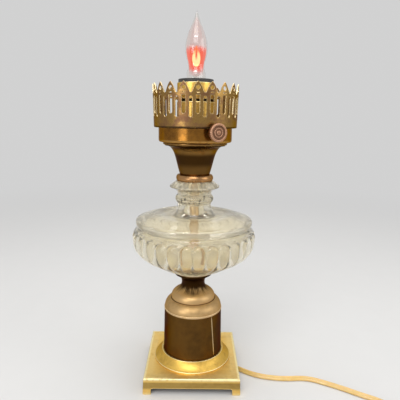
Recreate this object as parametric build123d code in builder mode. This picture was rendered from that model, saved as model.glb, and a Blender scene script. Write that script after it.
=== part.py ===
"""Pedestal table lamp in the style of an oil lamp, wired for a flame bulb.

Square plinth on bracket feet, turned pillar, pressed glass font, burner with a pierced
crown gallery, turn-knob lamp socket, flame bulb and a flat supply cord with its plug.
Millimetres, +Z up, origin at the middle of the plinth on the surface that it stands on.
"""

from build123d import *
import os
from math import atan, cos, degrees, pi, radians, sin, tan

# Plinth: a square pressing with an apron on four corner feet
plinth_side = 101.6
plinth_height = 18.0
plinth_draft = 2.5
plinth_sheet = 1.6
plinth_edge_round = 0.9
plinth_corner_round = 1.4
foot_height = 7.0
foot_width = 8.7
foot_arch_round = 2.2

# Seat ring: the moulding that the pillar stands in
ring_outer_radius = 42.9
ring_height = 10.0
ring_edge_height = 1.5
ring_lip_width = 1.9
ring_cove = 1.1

# Pillar: a rolled sheet tube, a little wider at its foot, with a leaning lap seam
pillar_foot_radius = 33.0
pillar_head_radius = 32.0
pillar_height = 58.5
pillar_sheet = 1.2
pillar_fit = 0.1
seam_bearing = 43.0
seam_lean = 5.0
seam_width = 1.5
seam_proud = 0.35
seam_depth = 0.55
seam_end_gap = 1.2

# Shoulder cap: the dome that closes the pillar
cap_overhang = 0.3
cap_sheet = 1.4
cap_rim_height = 1.6
cap_rise = 10.6
cap_top_radius = 25.2
cap_bulge = 1.9

# Waist spool: the turned stem and cup under the font
spool_foot_radius = 24.4
spool_foot_height = 0.9
spool_shoulder_radius = 20.3
spool_shoulder_rise = 7.8
spool_waist_radius = 12.8
spool_waist_rise = 9.3
spool_shoulder_lean = 145.0
spool_cup_radius = 20.6
spool_cup_rise = 10.0
spool_cup_slope = 25.0
cup_rim_height = 2.2
cup_rim_width = 1.0
cup_rim_drop = 0.1
cup_washer_thickness = 0.8
cup_fit = 0.2

# Font: the pressed glass bowl
font_radius = 66.8
font_belly_rise = 26.3
font_bowl_radius = 47.7
font_bowl_height = 13.9
font_foot_slope = 20.0
font_groove_radius = 60.5
font_groove_rise = 12.2
font_groove_lean = 145.0
font_groove_slope = 35.0
font_shoulder_radius = 63.1
font_shoulder_rise = 5.7
font_crest_radius = 59.5
font_crest_rise = 3.5
font_top_radius = 36.0
font_top_rise = 4.0
font_wall = 4.2
font_floor = 6.0

# Lobes pressed round the bowl of the font, parted by grooves that fade at their ends
lobe_count = 32
lobe_bearing = 5.0
lobe_depth = 1.8
lobe_groove_share = 0.8
lobe_clearance = 1.0
lobe_end_share = 0.25
lobe_stations = (0.05, 0.2, 0.35, 0.5, 0.65, 0.8, 0.93)

# Neck of the font with its bead, pouring flange and spigot
neck_radius = 18.1
neck_rise = 12.8
neck_bead_radius = 20.6
neck_bead_height = 9.0
neck_bore_radius = 9.5
flange_radius = 26.6
flange_rise = 7.9
flange_slope = 22.0
flange_edge = 1.3
flange_crown = 5.4
spigot_radius = 15.6
spigot_height = 3.3

# Collar cemented on the spigot
collar_radius = 19.5
collar_height = 6.3
collar_bulge = 1.5
collar_edge_inset = 1.2
collar_top_thickness = 2.6
cement_thickness = 0.6
collar_fit = 0.1

# Burner bell, its seam ring and the drum that carries the gallery
bell_sheet = 0.9
bell_stub_radius = 13.3
bell_stub_length = 2.4
bell_foot_radius = 15.7
bell_foot_slope = 72.0
bell_stem_radius = 20.0
bell_stem_height = 15.6
bell_flare_radius = 24.0
bell_flare_rise = 10.8
bell_rim_radius = 32.0
bell_rim_rise = 5.6
seam_ring_radius = 33.8
seam_ring_bore_radius = 28.5
seam_ring_height = 2.6
drum_radius = 38.5
drum_height = 14.6
drum_sheet = 0.9
drum_corner_round = 2.4

# Gallery: the pierced crown, with its drops counted from its top and its slot feet from its floor
gallery_gap = 0.2
gallery_sheet = 1.0
gallery_foot_radius = 43.3
gallery_top_radius = 44.7
gallery_height = 43.8
gallery_socket_gap = 0.7
gallery_corner_round = 1.6
crown_peaks = 20
crown_bearing = 3.0
crown_tip_width = 0.5
crown_valley_drop = 10.2
crown_valley_width = 2.8
crown_throat_drop = 7.2
crown_throat_width = 4.4
crown_peak_bulge = 0.45
eye_drop = 5.8
eye_diameter = 3.7
slit_drop = 10.1
slit_length = 3.2
slit_thickness = 0.9
short_slot_foot = 14.0
short_slot_head_drop = 12.6
short_slot_width = 3.7
long_slot_foot = 10.8
long_slot_head_drop = 13.6
long_slot_width = 3.0
long_slot_drop_diameter = 3.7

# Centre pipe with its nut under the plinth
pipe_radius = 5.0
pipe_bore_radius = 3.7
pipe_hole_gap = 0.3
check_plate_radius = 14.0
check_plate_thickness = 1.5
lock_washer_radius = 8.0
lock_washer_thickness = 1.0
pipe_nut_flats = 15.9
pipe_nut_height = 3.0

# Lamp socket with a turn-knob switch
socket_hub_radius = 8.0
socket_hub_height = 3.9
socket_sheet = 0.8
socket_shell_radius = 19.3
socket_shell_height = 55.0
socket_shell_groove_height = 37.0
socket_shell_groove_depth = 0.5
socket_shell_groove_width = 1.2
socket_shell_overlap = 2.0
socket_fit = 0.3
liner_thickness = 0.8
liner_stand_out = 1.6
block_radius = 15.8
block_height = 26.5
block_recess_radius = 6.5
block_recess_depth = 4.0
screw_shell_sheet = 0.5
screw_shell_height = 23.5
screw_shell_rib = 0.5
screw_shell_ribs = 5
contact_radius = 3.4
contact_height = 1.8
terminal_bearings = (115.0, 295.0)
terminal_height = 15.0
terminal_shank_radius = 1.5
terminal_shank_length = 5.0
terminal_head_radius = 3.0
terminal_head_thickness = 0.9

# Switch spindle and knob
knob_bearing = 25.3
knob_radius = 9.0
knob_thickness = 4.2
knob_reach = 53.0
knob_dish_radius = 6.6
knob_dish_depth = 0.8
knob_notches = 30
knob_notch_radius = 0.55
spindle_radius = 1.6
spindle_inner_reach = 8.0
spindle_running_gap = 0.06
spindle_slot_gap = 0.6
knob_socket_depth = 3.0
bush_radius = 2.5
bush_flange_radius = 3.2
bush_head_room = 0.2
bush_flange_thickness = 1.6
bush_inner_length = 2.2
bush_fit = 0.05

# Flame bulb with a screw cap
bulb_seat_gap = 0.3
bulb_thread_gap = 0.35
bulb_cap_radius = 13.05
bulb_cap_height = 23.6
bulb_cap_sheet = 0.5
bulb_cap_rib = 0.5
bulb_cap_ribs = 5
bulb_contact_radius = 4.4
bulb_contact_height = 1.3
bulb_insulator_radius = 9.5
bulb_insulator_height = 2.3
bulb_foot_radius = 9.8
bulb_bead_height = 8.5
bulb_waist_radius = 8.4
bulb_waist_rise = 5.5
bulb_waist_lean = 110.0
bulb_radius = 11.5
bulb_belly_rise = 19.0
bulb_taper_radius = 4.8
bulb_taper_rise = 23.0
bulb_tip_rise = 13.0
bulb_tip_lean = 115.0
bulb_wall = 0.8
bulb_tip_wall = 2.4
stem_radius = 3.0
stem_head_radius = 1.9
stem_height = 12.5
lead_wire_radius = 0.4
lead_wire_spacing = 2.4
lead_wire_length = 2.6
flame_width = 8.2
flame_height = 20.0
flame_gap = 1.6
flame_thickness = 0.8
flame_shank_width = 1.6
flame_belly_height = 7.5
flame_foot_slope = 30.0
flame_tip_lean = 115.0

# Supply cord, its coil, its tie and its plug
cord_diameter = 5.3
cord_floor_gap = 0.05
coil_centre = (176.0, -127.0)
coil_mid_diameter = 58.0
coil_columns = 3
coil_rows = 3
coil_round = 2.4
tie_thickness = 0.8
tie_width = 6.0
tie_gap = 0.3
tie_bearing = 125.0
plug_length = 27.0
plug_width = 22.0
plug_thickness = 14.0
plug_round = 4.0
plug_tail_width = 8.0
plug_tail_thickness = 7.0
plug_tail_round = 2.8
plug_shoulder = 11.0
blade_length = 17.5
blade_width = 6.35
blade_thickness = 1.5
blade_spacing = 12.7

# Shares of a wall or a run that its rounding takes up
edge_round_share = 0.45
cord_round_share = 0.45

# Heights within a piece, each from the one below it
spool_shoulder_height = spool_foot_height + spool_shoulder_rise
spool_waist_height = spool_shoulder_height + spool_waist_rise
spool_cup_height = spool_waist_height + spool_cup_rise
font_belly_height = font_bowl_height + font_belly_rise
font_groove_height = font_belly_height + font_groove_rise
font_shoulder_height = font_groove_height + font_shoulder_rise
font_crest_height = font_shoulder_height + font_crest_rise
font_top_height = font_crest_height + font_top_rise
neck_height = font_top_height + neck_rise
flange_height = neck_height + neck_bead_height + flange_rise
bell_flare_height = bell_stem_height + bell_flare_rise
bell_height = bell_flare_height + bell_rim_rise
bulb_waist_height = bulb_bead_height + bulb_waist_rise
bulb_belly_height = bulb_waist_height + bulb_belly_rise
bulb_taper_height = bulb_belly_height + bulb_taper_rise
bulb_height = bulb_taper_height + bulb_tip_rise

# Levels up the lamp, each from the piece below it
plinth_underside = plinth_height - plinth_sheet
check_plate_bottom = plinth_underside - check_plate_thickness
lock_washer_bottom = check_plate_bottom - lock_washer_thickness
pipe_nut_bottom = lock_washer_bottom - pipe_nut_height
pillar_top = plinth_height + pillar_height
cap_top = pillar_top + cap_rim_height + cap_rise
cup_floor = cap_top + spool_cup_height + cup_rim_height + cup_rim_drop - cup_washer_thickness
font_foot = cup_floor + cup_washer_thickness
flange_top = font_foot + flange_height + flange_edge + flange_crown
spigot_top = flange_top + spigot_height
collar_top = flange_top + collar_height
bell_top = collar_top + bell_height
drum_floor = bell_top + seam_ring_height
drum_top = drum_floor + drum_height
gallery_floor = drum_top + gallery_gap
spindle_level = drum_top - bush_head_room - bush_flange_radius
socket_hub_bottom = drum_floor + drum_sheet
socket_cap_floor = socket_hub_bottom + socket_hub_height + socket_sheet
socket_cap_top = spindle_level - spindle_radius - spindle_slot_gap
socket_shell_bottom = socket_cap_top - socket_shell_overlap
socket_shell_top = socket_shell_bottom + socket_shell_height
block_top = socket_cap_floor + block_height
bulb_bottom = block_top + contact_height + bulb_seat_gap
bulb_insulator_bottom = bulb_bottom + bulb_contact_height
bulb_cap_bottom = bulb_insulator_bottom + bulb_insulator_height
bulb_cap_top = bulb_cap_bottom + bulb_cap_height

# Sizes that follow from the pieces they fit
plinth_base_side = plinth_side + 2 * plinth_height * tan(radians(plinth_draft))
pipe_hole_radius = pipe_radius + pipe_hole_gap
font_foot_radius = spool_cup_radius - cup_rim_width - cup_fit
collar_bore_radius = spigot_radius + cement_thickness
socket_cap_radius = socket_shell_radius - socket_sheet - socket_fit
liner_radius = socket_cap_radius
screw_shell_bore_radius = bulb_cap_radius + bulb_thread_gap


def bearing_plane(bearing, radius=0.0, height=0.0):
    """Plane that faces outwards on a bearing counted from the front towards +X."""
    turn = radians(bearing)
    outward = Vector(sin(turn), -cos(turn), 0)
    tangent = Vector(cos(turn), sin(turn), 0)
    return Plane(origin=outward * radius + Vector(0, 0, height), x_dir=tangent, z_dir=outward)


def unit(angle):
    """Direction in an outline's plane, in degrees from outwards towards up."""
    return (cos(radians(angle)), sin(radians(angle)))


outwards = unit(0)
upwards = unit(90)
inwards = unit(180)
downwards = unit(270)

# Plinth
with BuildPart() as plinth:
    with BuildSketch():
        Rectangle(plinth_base_side, plinth_base_side)
    extrude(amount=plinth_height, taper=plinth_draft)
    fillet(plinth.edges().group_by(Axis.Z)[1], plinth_corner_round)
    fillet(plinth.faces().sort_by(Axis.Z)[-1].edges(), plinth_edge_round)
    with BuildSketch():
        Rectangle(plinth_base_side - 2 * plinth_sheet, plinth_base_side - 2 * plinth_sheet)
    extrude(amount=plinth_underside, taper=plinth_draft, mode=Mode.SUBTRACT)
    for gap_plane in (Plane.XZ, Plane.YZ):
        with BuildSketch(gap_plane):
            RectangleRounded(plinth_base_side - 2 * foot_width, 2 * foot_height, foot_arch_round)
        extrude(amount=plinth_base_side, both=True, mode=Mode.SUBTRACT)
    with BuildSketch(Plane.XY.offset(plinth_underside)):
        Circle(pipe_hole_radius)
    extrude(amount=plinth_sheet, mode=Mode.SUBTRACT)

# Seat ring
ring_bore_radius = pillar_foot_radius + pillar_fit
ring_lip_radius = ring_bore_radius + ring_lip_width
ring_top = plinth_height + ring_height
with BuildPart() as seat_ring:
    with BuildSketch(Plane.XZ):
        with BuildLine():
            edge_top = (ring_outer_radius, plinth_height + ring_edge_height)
            lip = (ring_lip_radius, ring_top)
            Polyline((ring_bore_radius, ring_top), (ring_bore_radius, plinth_height),
                     (ring_outer_radius, plinth_height), edge_top)
            SagittaArc(edge_top, lip, ring_cove)
            Line(lip, (ring_bore_radius, ring_top))
        make_face()
    revolve(axis=Axis.Z)

# Pillar tube with the groove that its seam lies in
pillar_slope = degrees(atan((pillar_foot_radius - pillar_head_radius) / pillar_height))
seam_bottom = ring_top + seam_end_gap
seam_length = pillar_top - seam_end_gap - seam_bottom
seam_level = seam_bottom + seam_length / 2
seam_radius = pillar_foot_radius - (seam_level - plinth_height) * tan(radians(pillar_slope))
seam_plane = bearing_plane(seam_bearing, seam_radius, seam_level).rotated((-pillar_slope, 0, 0))
with BuildPart() as pillar_tube:
    with BuildSketch(Plane.XZ):
        Polygon((pillar_foot_radius - pillar_sheet, plinth_height), (pillar_foot_radius, plinth_height),
                (pillar_head_radius, pillar_top), (pillar_head_radius - pillar_sheet, pillar_top), align=None)
    revolve(axis=Axis.Z)
    with BuildSketch(seam_plane.offset(-seam_depth)):
        Rectangle(seam_width, seam_length, rotation=seam_lean)
    extrude(amount=seam_depth + seam_proud, mode=Mode.SUBTRACT)

with BuildPart() as pillar_seam:
    with BuildSketch(seam_plane.offset(-seam_depth)):
        Rectangle(seam_width, seam_length, rotation=seam_lean)
    extrude(amount=seam_depth + seam_proud)

# Shoulder cap
cap_radius = pillar_head_radius + cap_overhang
cap_rim = pillar_top + cap_rim_height
with BuildPart() as shoulder_cap:
    with BuildSketch(Plane.XZ):
        with BuildLine():
            SagittaArc((cap_radius, cap_rim), (cap_top_radius, cap_top), -cap_bulge)
            Polyline((cap_top_radius, cap_top), (pipe_hole_radius, cap_top),
                     (pipe_hole_radius, cap_top - cap_sheet), (cap_top_radius - cap_sheet, cap_top - cap_sheet))
            SagittaArc((cap_top_radius - cap_sheet, cap_top - cap_sheet), (cap_radius - cap_sheet, cap_rim),
                       cap_bulge)
            Polyline((cap_radius - cap_sheet, cap_rim), (cap_radius - cap_sheet, pillar_top),
                     (cap_radius, pillar_top), (cap_radius, cap_rim))
        make_face()
    revolve(axis=Axis.Z)

# Waist spool with its cup
with BuildPart() as waist_spool:
    with BuildSketch(Plane.XZ):
        with BuildLine():
            spool_start = (spool_foot_radius, cap_top + spool_foot_height)
            spool_shoulder = (spool_shoulder_radius, cap_top + spool_shoulder_height)
            spool_waist = (spool_waist_radius, cap_top + spool_waist_height)
            spool_cup = (spool_cup_radius, cap_top + spool_cup_height)
            rim_top = cap_top + spool_cup_height + cup_rim_height
            Spline(spool_start, spool_shoulder, tangents=[upwards, unit(spool_shoulder_lean)])
            Spline(spool_shoulder, spool_waist, tangents=[unit(spool_shoulder_lean), upwards])
            Spline(spool_waist, spool_cup, tangents=[upwards, unit(spool_cup_slope)])
            Polyline(spool_cup, (spool_cup_radius, rim_top), (spool_cup_radius - cup_rim_width, rim_top),
                     (spool_cup_radius - cup_rim_width, cup_floor), (pipe_hole_radius, cup_floor),
                     (pipe_hole_radius, cap_top), (spool_foot_radius, cap_top), spool_start)
        make_face()
    revolve(axis=Axis.Z)

with BuildPart() as cup_washer:
    with BuildSketch(Plane.XY.offset(cup_floor)):
        Circle(font_foot_radius)
        Circle(pipe_hole_radius, mode=Mode.SUBTRACT)
    extrude(amount=cup_washer_thickness)


def font_point(radius, height):
    """Point of the font's outline, with its height counted from the font's foot."""
    return (radius, font_foot + height)


def font_side():
    """Draw the font's side from its foot over the belly to the groove below its shoulder."""
    bowl = font_point(font_bowl_radius, font_bowl_height)
    belly = font_point(font_radius, font_belly_height)
    groove = font_point(font_groove_radius, font_groove_height)
    Spline(font_point(font_foot_radius, 0), bowl, belly, tangents=[unit(font_foot_slope), upwards])
    Spline(belly, groove, tangents=[upwards, unit(font_groove_lean)])


# Groove between two lobes, along the font's side
with BuildLine(Plane.XZ) as lobe_line:
    font_side()
lobe_side = lobe_line.wire()
with BuildPart() as lobe_groove:
    for station in lobe_stations:
        spot = lobe_side @ station
        fade = lobe_end_share if station in (lobe_stations[0], lobe_stations[-1]) else 1.0
        depth = fade * lobe_depth * spot.X / font_radius
        half_width = fade * lobe_groove_share * spot.X * pi / lobe_count
        rim = half_width * (1 + lobe_clearance / depth)
        with BuildSketch(Plane(origin=spot, x_dir=(0, 1, 0), z_dir=lobe_side % station)):
            Polygon((-rim, -lobe_clearance), (rim, -lobe_clearance), (0, depth), align=None)
    loft()

# Font
with BuildPart() as glass_font:
    with BuildSketch(Plane.XZ):
        with BuildLine():
            foot = font_point(font_foot_radius, 0)
            groove = font_point(font_groove_radius, font_groove_height)
            shoulder = font_point(font_shoulder_radius, font_shoulder_height)
            crest = font_point(font_crest_radius, font_crest_height)
            top = font_point(font_top_radius, font_top_height)
            neck = font_point(neck_radius, neck_height)
            bead = font_point(neck_radius, neck_height + neck_bead_height)
            flange_tip = font_point(flange_radius, flange_height)
            font_side()
            Spline(groove, shoulder, tangents=[unit(font_groove_slope), upwards])
            Spline(shoulder, crest, top, neck, tangents=[upwards, upwards])
            SagittaArc(neck, bead, neck_radius - neck_bead_radius)
            Spline(bead, flange_tip, tangents=[upwards, unit(flange_slope)])
            Polyline(flange_tip, font_point(flange_radius, flange_height + flange_edge),
                     (collar_radius, flange_top), (spigot_radius, flange_top), (spigot_radius, spigot_top),
                     (neck_bore_radius, spigot_top), font_point(neck_bore_radius, neck_height))
            cavity_shoulder = font_point(font_groove_radius - font_wall, font_groove_height)
            cavity_belly = font_point(font_radius - font_wall, font_belly_height)
            cavity_bowl = font_point(font_bowl_radius - font_wall, font_bowl_height + font_wall / 2)
            cavity_top = font_point(font_top_radius, font_top_height - font_wall)
            Spline(font_point(neck_bore_radius, neck_height), cavity_top, cavity_shoulder, cavity_belly,
                   tangents=[downwards, downwards])
            Spline(cavity_belly, cavity_bowl, font_point(pipe_hole_radius, font_floor),
                   tangents=[downwards, inwards])
            Polyline(font_point(pipe_hole_radius, font_floor), font_point(pipe_hole_radius, 0), foot)
        make_face()
    revolve(axis=Axis.Z)
    with PolarLocations(0, lobe_count, start_angle=lobe_bearing + 180 / lobe_count - 90):
        add(lobe_groove.part, mode=Mode.SUBTRACT)

# Collar and the cement under it
collar_plate = collar_top - collar_top_thickness
with BuildPart() as cement_ring:
    with BuildSketch(Plane.XY.offset(flange_top)):
        Circle(collar_bore_radius)
        Circle(spigot_radius, mode=Mode.SUBTRACT)
    extrude(amount=spigot_height)

with BuildPart() as collar:
    with BuildSketch(Plane.XZ):
        with BuildLine():
            collar_edge = collar_radius - collar_edge_inset
            SagittaArc((collar_edge, flange_top), (collar_edge, collar_top), -collar_bulge)
            Polyline((collar_edge, collar_top), (bell_stub_radius + collar_fit, collar_top),
                     (bell_stub_radius + collar_fit, collar_plate), (collar_bore_radius, collar_plate),
                     (collar_bore_radius, flange_top), (collar_edge, flange_top))
        make_face()
    revolve(axis=Axis.Z)


def bell_line(inset):
    """Draw the bell's curve from its foot to its rim, moved inwards and up by an inset."""
    bell_foot = (bell_foot_radius - inset, collar_top + inset)
    bell_stem = (bell_stem_radius - inset, collar_top + bell_stem_height)
    bell_flare = (bell_flare_radius - inset, collar_top + bell_flare_height + inset)
    bell_rim = (bell_rim_radius, bell_top - bell_sheet + inset)
    Spline(bell_foot, bell_stem, bell_flare, bell_rim, tangents=[unit(bell_foot_slope), outwards])
    return bell_foot, bell_rim


# Burner bell
with BuildPart() as burner_bell:
    with BuildSketch(Plane.XZ):
        with BuildLine():
            outer_foot, outer_rim = bell_line(0)
            inner_foot, inner_rim = bell_line(bell_sheet)
            stub_bottom = collar_top - bell_stub_length
            Line(outer_rim, inner_rim)
            Polyline(outer_foot, (bell_stub_radius, collar_top), (bell_stub_radius, stub_bottom),
                     (bell_stub_radius - bell_sheet, stub_bottom),
                     (bell_stub_radius - bell_sheet, collar_top + bell_sheet), inner_foot)
        make_face()
    revolve(axis=Axis.Z)

with BuildPart() as seam_ring:
    with BuildSketch(Plane.XY.offset(bell_top)):
        Circle(seam_ring_radius)
        Circle(seam_ring_bore_radius, mode=Mode.SUBTRACT)
    extrude(amount=seam_ring_height)
    seam_ring_edges = seam_ring.edges().filter_by(GeomType.CIRCLE).sort_by(SortBy.RADIUS)[-2:]
    fillet(seam_ring_edges, edge_round_share * seam_ring_height)

# Drum
spindle_plane = bearing_plane(knob_bearing, 0, spindle_level)
with BuildPart() as burner_drum:
    with BuildSketch(Plane.XY.offset(drum_floor)):
        Circle(drum_radius)
    extrude(amount=drum_height)
    fillet(burner_drum.faces().sort_by(Axis.Z)[0].edges(), drum_corner_round)
    with BuildSketch(Plane.XY.offset(drum_floor + drum_sheet)):
        Circle(drum_radius - drum_sheet)
    extrude(amount=drum_height - drum_sheet, mode=Mode.SUBTRACT)
    fillet(burner_drum.edges().group_by(Axis.Z)[2].sort_by(SortBy.RADIUS)[-1], drum_corner_round - drum_sheet)
    with BuildSketch(Plane.XY.offset(drum_floor)):
        Circle(pipe_hole_radius)
    extrude(amount=drum_sheet, mode=Mode.SUBTRACT)
    with BuildSketch(spindle_plane):
        Circle(bush_radius + bush_fit)
    extrude(amount=drum_radius + drum_sheet, mode=Mode.SUBTRACT)


crown_top = gallery_floor + gallery_height


def crown_cut(peak_bearing):
    """Cut what belongs to one peak: the valley beside it, its eye, its slit and two slots."""
    half_pitch = 180 / crown_peaks
    valley_half = gallery_top_radius * tan(radians(half_pitch)) - crown_tip_width / 2
    throat = (crown_throat_width / 2, crown_top - crown_throat_drop)
    valley_round = crown_valley_width / 2
    valley_centre = crown_top - crown_valley_drop + valley_round
    tip = (valley_half, crown_top)
    above = crown_top + gallery_sheet
    cut_start = min(gallery_foot_radius, gallery_top_radius) - 2 * gallery_sheet
    cut_length = abs(gallery_top_radius - gallery_foot_radius) + 4 * gallery_sheet
    with BuildSketch(bearing_plane(peak_bearing + half_pitch, cut_start)) as valley_cut:
        with BuildLine():
            Polyline((0, above), (tip[0], above), tip)
            SagittaArc(tip, throat, crown_peak_bulge)
            Line(throat, (valley_round, valley_centre))
            CenterArc((0, valley_centre), valley_round, 0, -90)
            mirror(about=Plane.YZ)
        make_face()
        long_foot = gallery_floor + long_slot_foot
        long_length = crown_top - long_slot_head_drop - long_foot
        with Locations((0, long_foot + long_length / 2)):
            SlotOverall(long_length, long_slot_width, rotation=90)
        with Locations((0, long_foot + long_slot_drop_diameter / 2)):
            Circle(long_slot_drop_diameter / 2)
    extrude(valley_cut.sketch, amount=cut_length, mode=Mode.SUBTRACT)
    with BuildSketch(bearing_plane(peak_bearing, cut_start)) as peak_cut:
        with Locations((0, crown_top - eye_drop)):
            Circle(eye_diameter / 2)
        with Locations((0, crown_top - slit_drop)):
            Ellipse(slit_length / 2, slit_thickness / 2)
        square_foot = gallery_floor + short_slot_foot + short_slot_width / 2
        short_head = crown_top - short_slot_head_drop
        with Locations((0, square_foot)):
            Circle(short_slot_width / 2)
        with Locations((0, (square_foot + short_head) / 2)):
            Rectangle(short_slot_width, short_head - square_foot)
    extrude(peak_cut.sketch, amount=cut_length, mode=Mode.SUBTRACT)


# Gallery
with BuildPart() as gallery:
    with BuildSketch(Plane.XZ):
        with BuildLine():
            floor_bore = socket_shell_radius + gallery_socket_gap
            FilletPolyline((floor_bore, gallery_floor), (gallery_foot_radius, gallery_floor),
                           (gallery_top_radius, crown_top), radius=gallery_corner_round)
            FilletPolyline((floor_bore, gallery_floor + gallery_sheet),
                           (gallery_foot_radius - gallery_sheet, gallery_floor + gallery_sheet),
                           (gallery_top_radius - gallery_sheet, crown_top),
                           radius=gallery_corner_round - gallery_sheet)
            Line((floor_bore, gallery_floor), (floor_bore, gallery_floor + gallery_sheet))
            Line((gallery_top_radius, crown_top), (gallery_top_radius - gallery_sheet, crown_top))
        make_face()
    revolve(axis=Axis.Z)
    for peak in range(crown_peaks):
        crown_cut(crown_bearing + peak * 360 / crown_peaks)

# Centre pipe and what clamps it under the plinth
pipe_top = socket_hub_bottom + socket_hub_height
with BuildPart() as centre_pipe:
    with BuildSketch(Plane.XY.offset(pipe_nut_bottom)):
        Circle(pipe_radius)
        Circle(pipe_bore_radius, mode=Mode.SUBTRACT)
    extrude(amount=pipe_top - pipe_nut_bottom)

with BuildPart() as check_plate:
    with BuildSketch(Plane.XY.offset(check_plate_bottom)):
        Circle(check_plate_radius)
        Circle(pipe_hole_radius, mode=Mode.SUBTRACT)
    extrude(amount=check_plate_thickness)

with BuildPart() as lock_washer:
    with BuildSketch(Plane.XY.offset(lock_washer_bottom)):
        Circle(lock_washer_radius)
        Circle(pipe_hole_radius, mode=Mode.SUBTRACT)
    extrude(amount=lock_washer_thickness)

with BuildPart() as pipe_nut:
    with BuildSketch(Plane.XY.offset(pipe_nut_bottom)):
        RegularPolygon(pipe_nut_flats / 2, 6, major_radius=False)
        Circle(pipe_radius, mode=Mode.SUBTRACT)
    extrude(amount=pipe_nut_height)

# Socket cap with the hub that screws on the pipe
with BuildPart() as socket_cap:
    with BuildSketch(Plane.XY.offset(socket_hub_bottom)):
        Circle(socket_hub_radius)
        Circle(pipe_radius, mode=Mode.SUBTRACT)
    extrude(amount=socket_hub_height)
    with BuildSketch(Plane.XY.offset(socket_cap_floor - socket_sheet)):
        Circle(socket_cap_radius)
        Circle(pipe_bore_radius, mode=Mode.SUBTRACT)
    extrude(amount=socket_sheet)
    with BuildSketch(Plane.XY.offset(socket_cap_floor)):
        Circle(socket_cap_radius)
        Circle(socket_cap_radius - socket_sheet, mode=Mode.SUBTRACT)
    extrude(amount=socket_cap_top - socket_cap_floor)


def spindle_slot():
    """Cut the slot that lets a sleeve slip down over the switch spindle."""
    slot_half = spindle_radius + spindle_slot_gap
    with BuildSketch(spindle_plane) as slot:
        Circle(slot_half)
        with Locations((0, -slot_half)):
            Rectangle(2 * slot_half, 2 * slot_half)
    extrude(slot.sketch, amount=socket_shell_radius + socket_sheet, mode=Mode.SUBTRACT)


# Socket body with a recess for the supply lead and a bore for the spindle
with BuildPart() as socket_body:
    with BuildSketch(Plane.XY.offset(socket_cap_floor)):
        Circle(block_radius)
    extrude(amount=block_height)
    with BuildSketch(Plane.XY.offset(socket_cap_floor)):
        Circle(block_recess_radius)
    extrude(amount=block_recess_depth, mode=Mode.SUBTRACT)
    with BuildSketch(spindle_plane.offset(spindle_inner_reach)):
        Circle(spindle_radius + spindle_running_gap)
    extrude(amount=block_radius, mode=Mode.SUBTRACT)
    for terminal in terminal_bearings:
        with BuildSketch(bearing_plane(terminal, block_radius - terminal_shank_length,
                                       socket_cap_floor + terminal_height)):
            Circle(terminal_shank_radius)
        extrude(amount=terminal_shank_length + terminal_head_thickness, mode=Mode.SUBTRACT)

with BuildPart() as terminal_screws:
    for terminal in terminal_bearings:
        terminal_plane = bearing_plane(terminal, block_radius, socket_cap_floor + terminal_height)
        with BuildSketch(terminal_plane.offset(-terminal_shank_length)):
            Circle(terminal_shank_radius)
        extrude(amount=terminal_shank_length)
        with BuildSketch(terminal_plane):
            Circle(terminal_head_radius)
        extrude(amount=terminal_head_thickness)

with BuildPart() as socket_liner:
    with BuildSketch(Plane.XY.offset(socket_cap_top)):
        Circle(liner_radius)
        Circle(liner_radius - liner_thickness, mode=Mode.SUBTRACT)
    extrude(amount=socket_shell_top + liner_stand_out - socket_cap_top)
    spindle_slot()

with BuildPart() as socket_shell:
    with BuildSketch(Plane.XY.offset(socket_shell_bottom)):
        Circle(socket_shell_radius)
        Circle(socket_shell_radius - socket_sheet, mode=Mode.SUBTRACT)
    extrude(amount=socket_shell_height)
    spindle_slot()
    with BuildSketch(Plane.XZ):
        with Locations((socket_shell_radius, socket_shell_bottom + socket_shell_groove_height)):
            Ellipse(socket_shell_groove_depth, socket_shell_groove_width / 2)
    revolve(axis=Axis.Z, mode=Mode.SUBTRACT)


def ribbed_tube(bore, sheet, rib, ribs, bottom, height):
    """Draw the wall of a thread-pressed tube, with a round rib for each turn of its thread."""
    pitch = height / ribs
    with Locations((bore + sheet / 2, bottom + height / 2)):
        Rectangle(sheet, height)
    with Locations(*[(bore + sheet, bottom + (turn + 0.5) * pitch) for turn in range(ribs)]):
        Ellipse(rib, pitch / 4)


# Screw shell and the centre contact of the socket
with BuildPart() as screw_shell:
    with BuildSketch(Plane.XZ):
        ribbed_tube(screw_shell_bore_radius, screw_shell_sheet, screw_shell_rib, screw_shell_ribs,
                    block_top, screw_shell_height)
        with BuildLine():
            flange_bore = contact_radius + 2 * screw_shell_sheet
            flange_reach = screw_shell_bore_radius + screw_shell_sheet
            Polyline((flange_bore, block_top), (flange_reach, block_top),
                     (flange_reach, block_top + screw_shell_sheet),
                     (flange_bore, block_top + screw_shell_sheet), close=True)
        make_face()
        with Locations((screw_shell_bore_radius - screw_shell_rib / 2, block_top + screw_shell_height / 2)):
            Rectangle(screw_shell_rib, screw_shell_height - 2 * screw_shell_sheet, mode=Mode.SUBTRACT)
    revolve(axis=Axis.Z)

with BuildPart() as centre_contact:
    with BuildSketch(Plane.XY.offset(block_top)):
        Circle(contact_radius)
    extrude(amount=contact_height)
    fillet(centre_contact.faces().sort_by(Axis.Z)[-1].edges(), edge_round_share * contact_height)

# Switch spindle, its bush in the drum's wall, and the knob
knob_back = knob_reach - knob_thickness
with BuildPart() as switch_spindle:
    with BuildSketch(spindle_plane.offset(spindle_inner_reach + spindle_slot_gap)):
        Circle(spindle_radius)
    extrude(amount=knob_back + knob_socket_depth - spindle_inner_reach - spindle_slot_gap)

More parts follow.
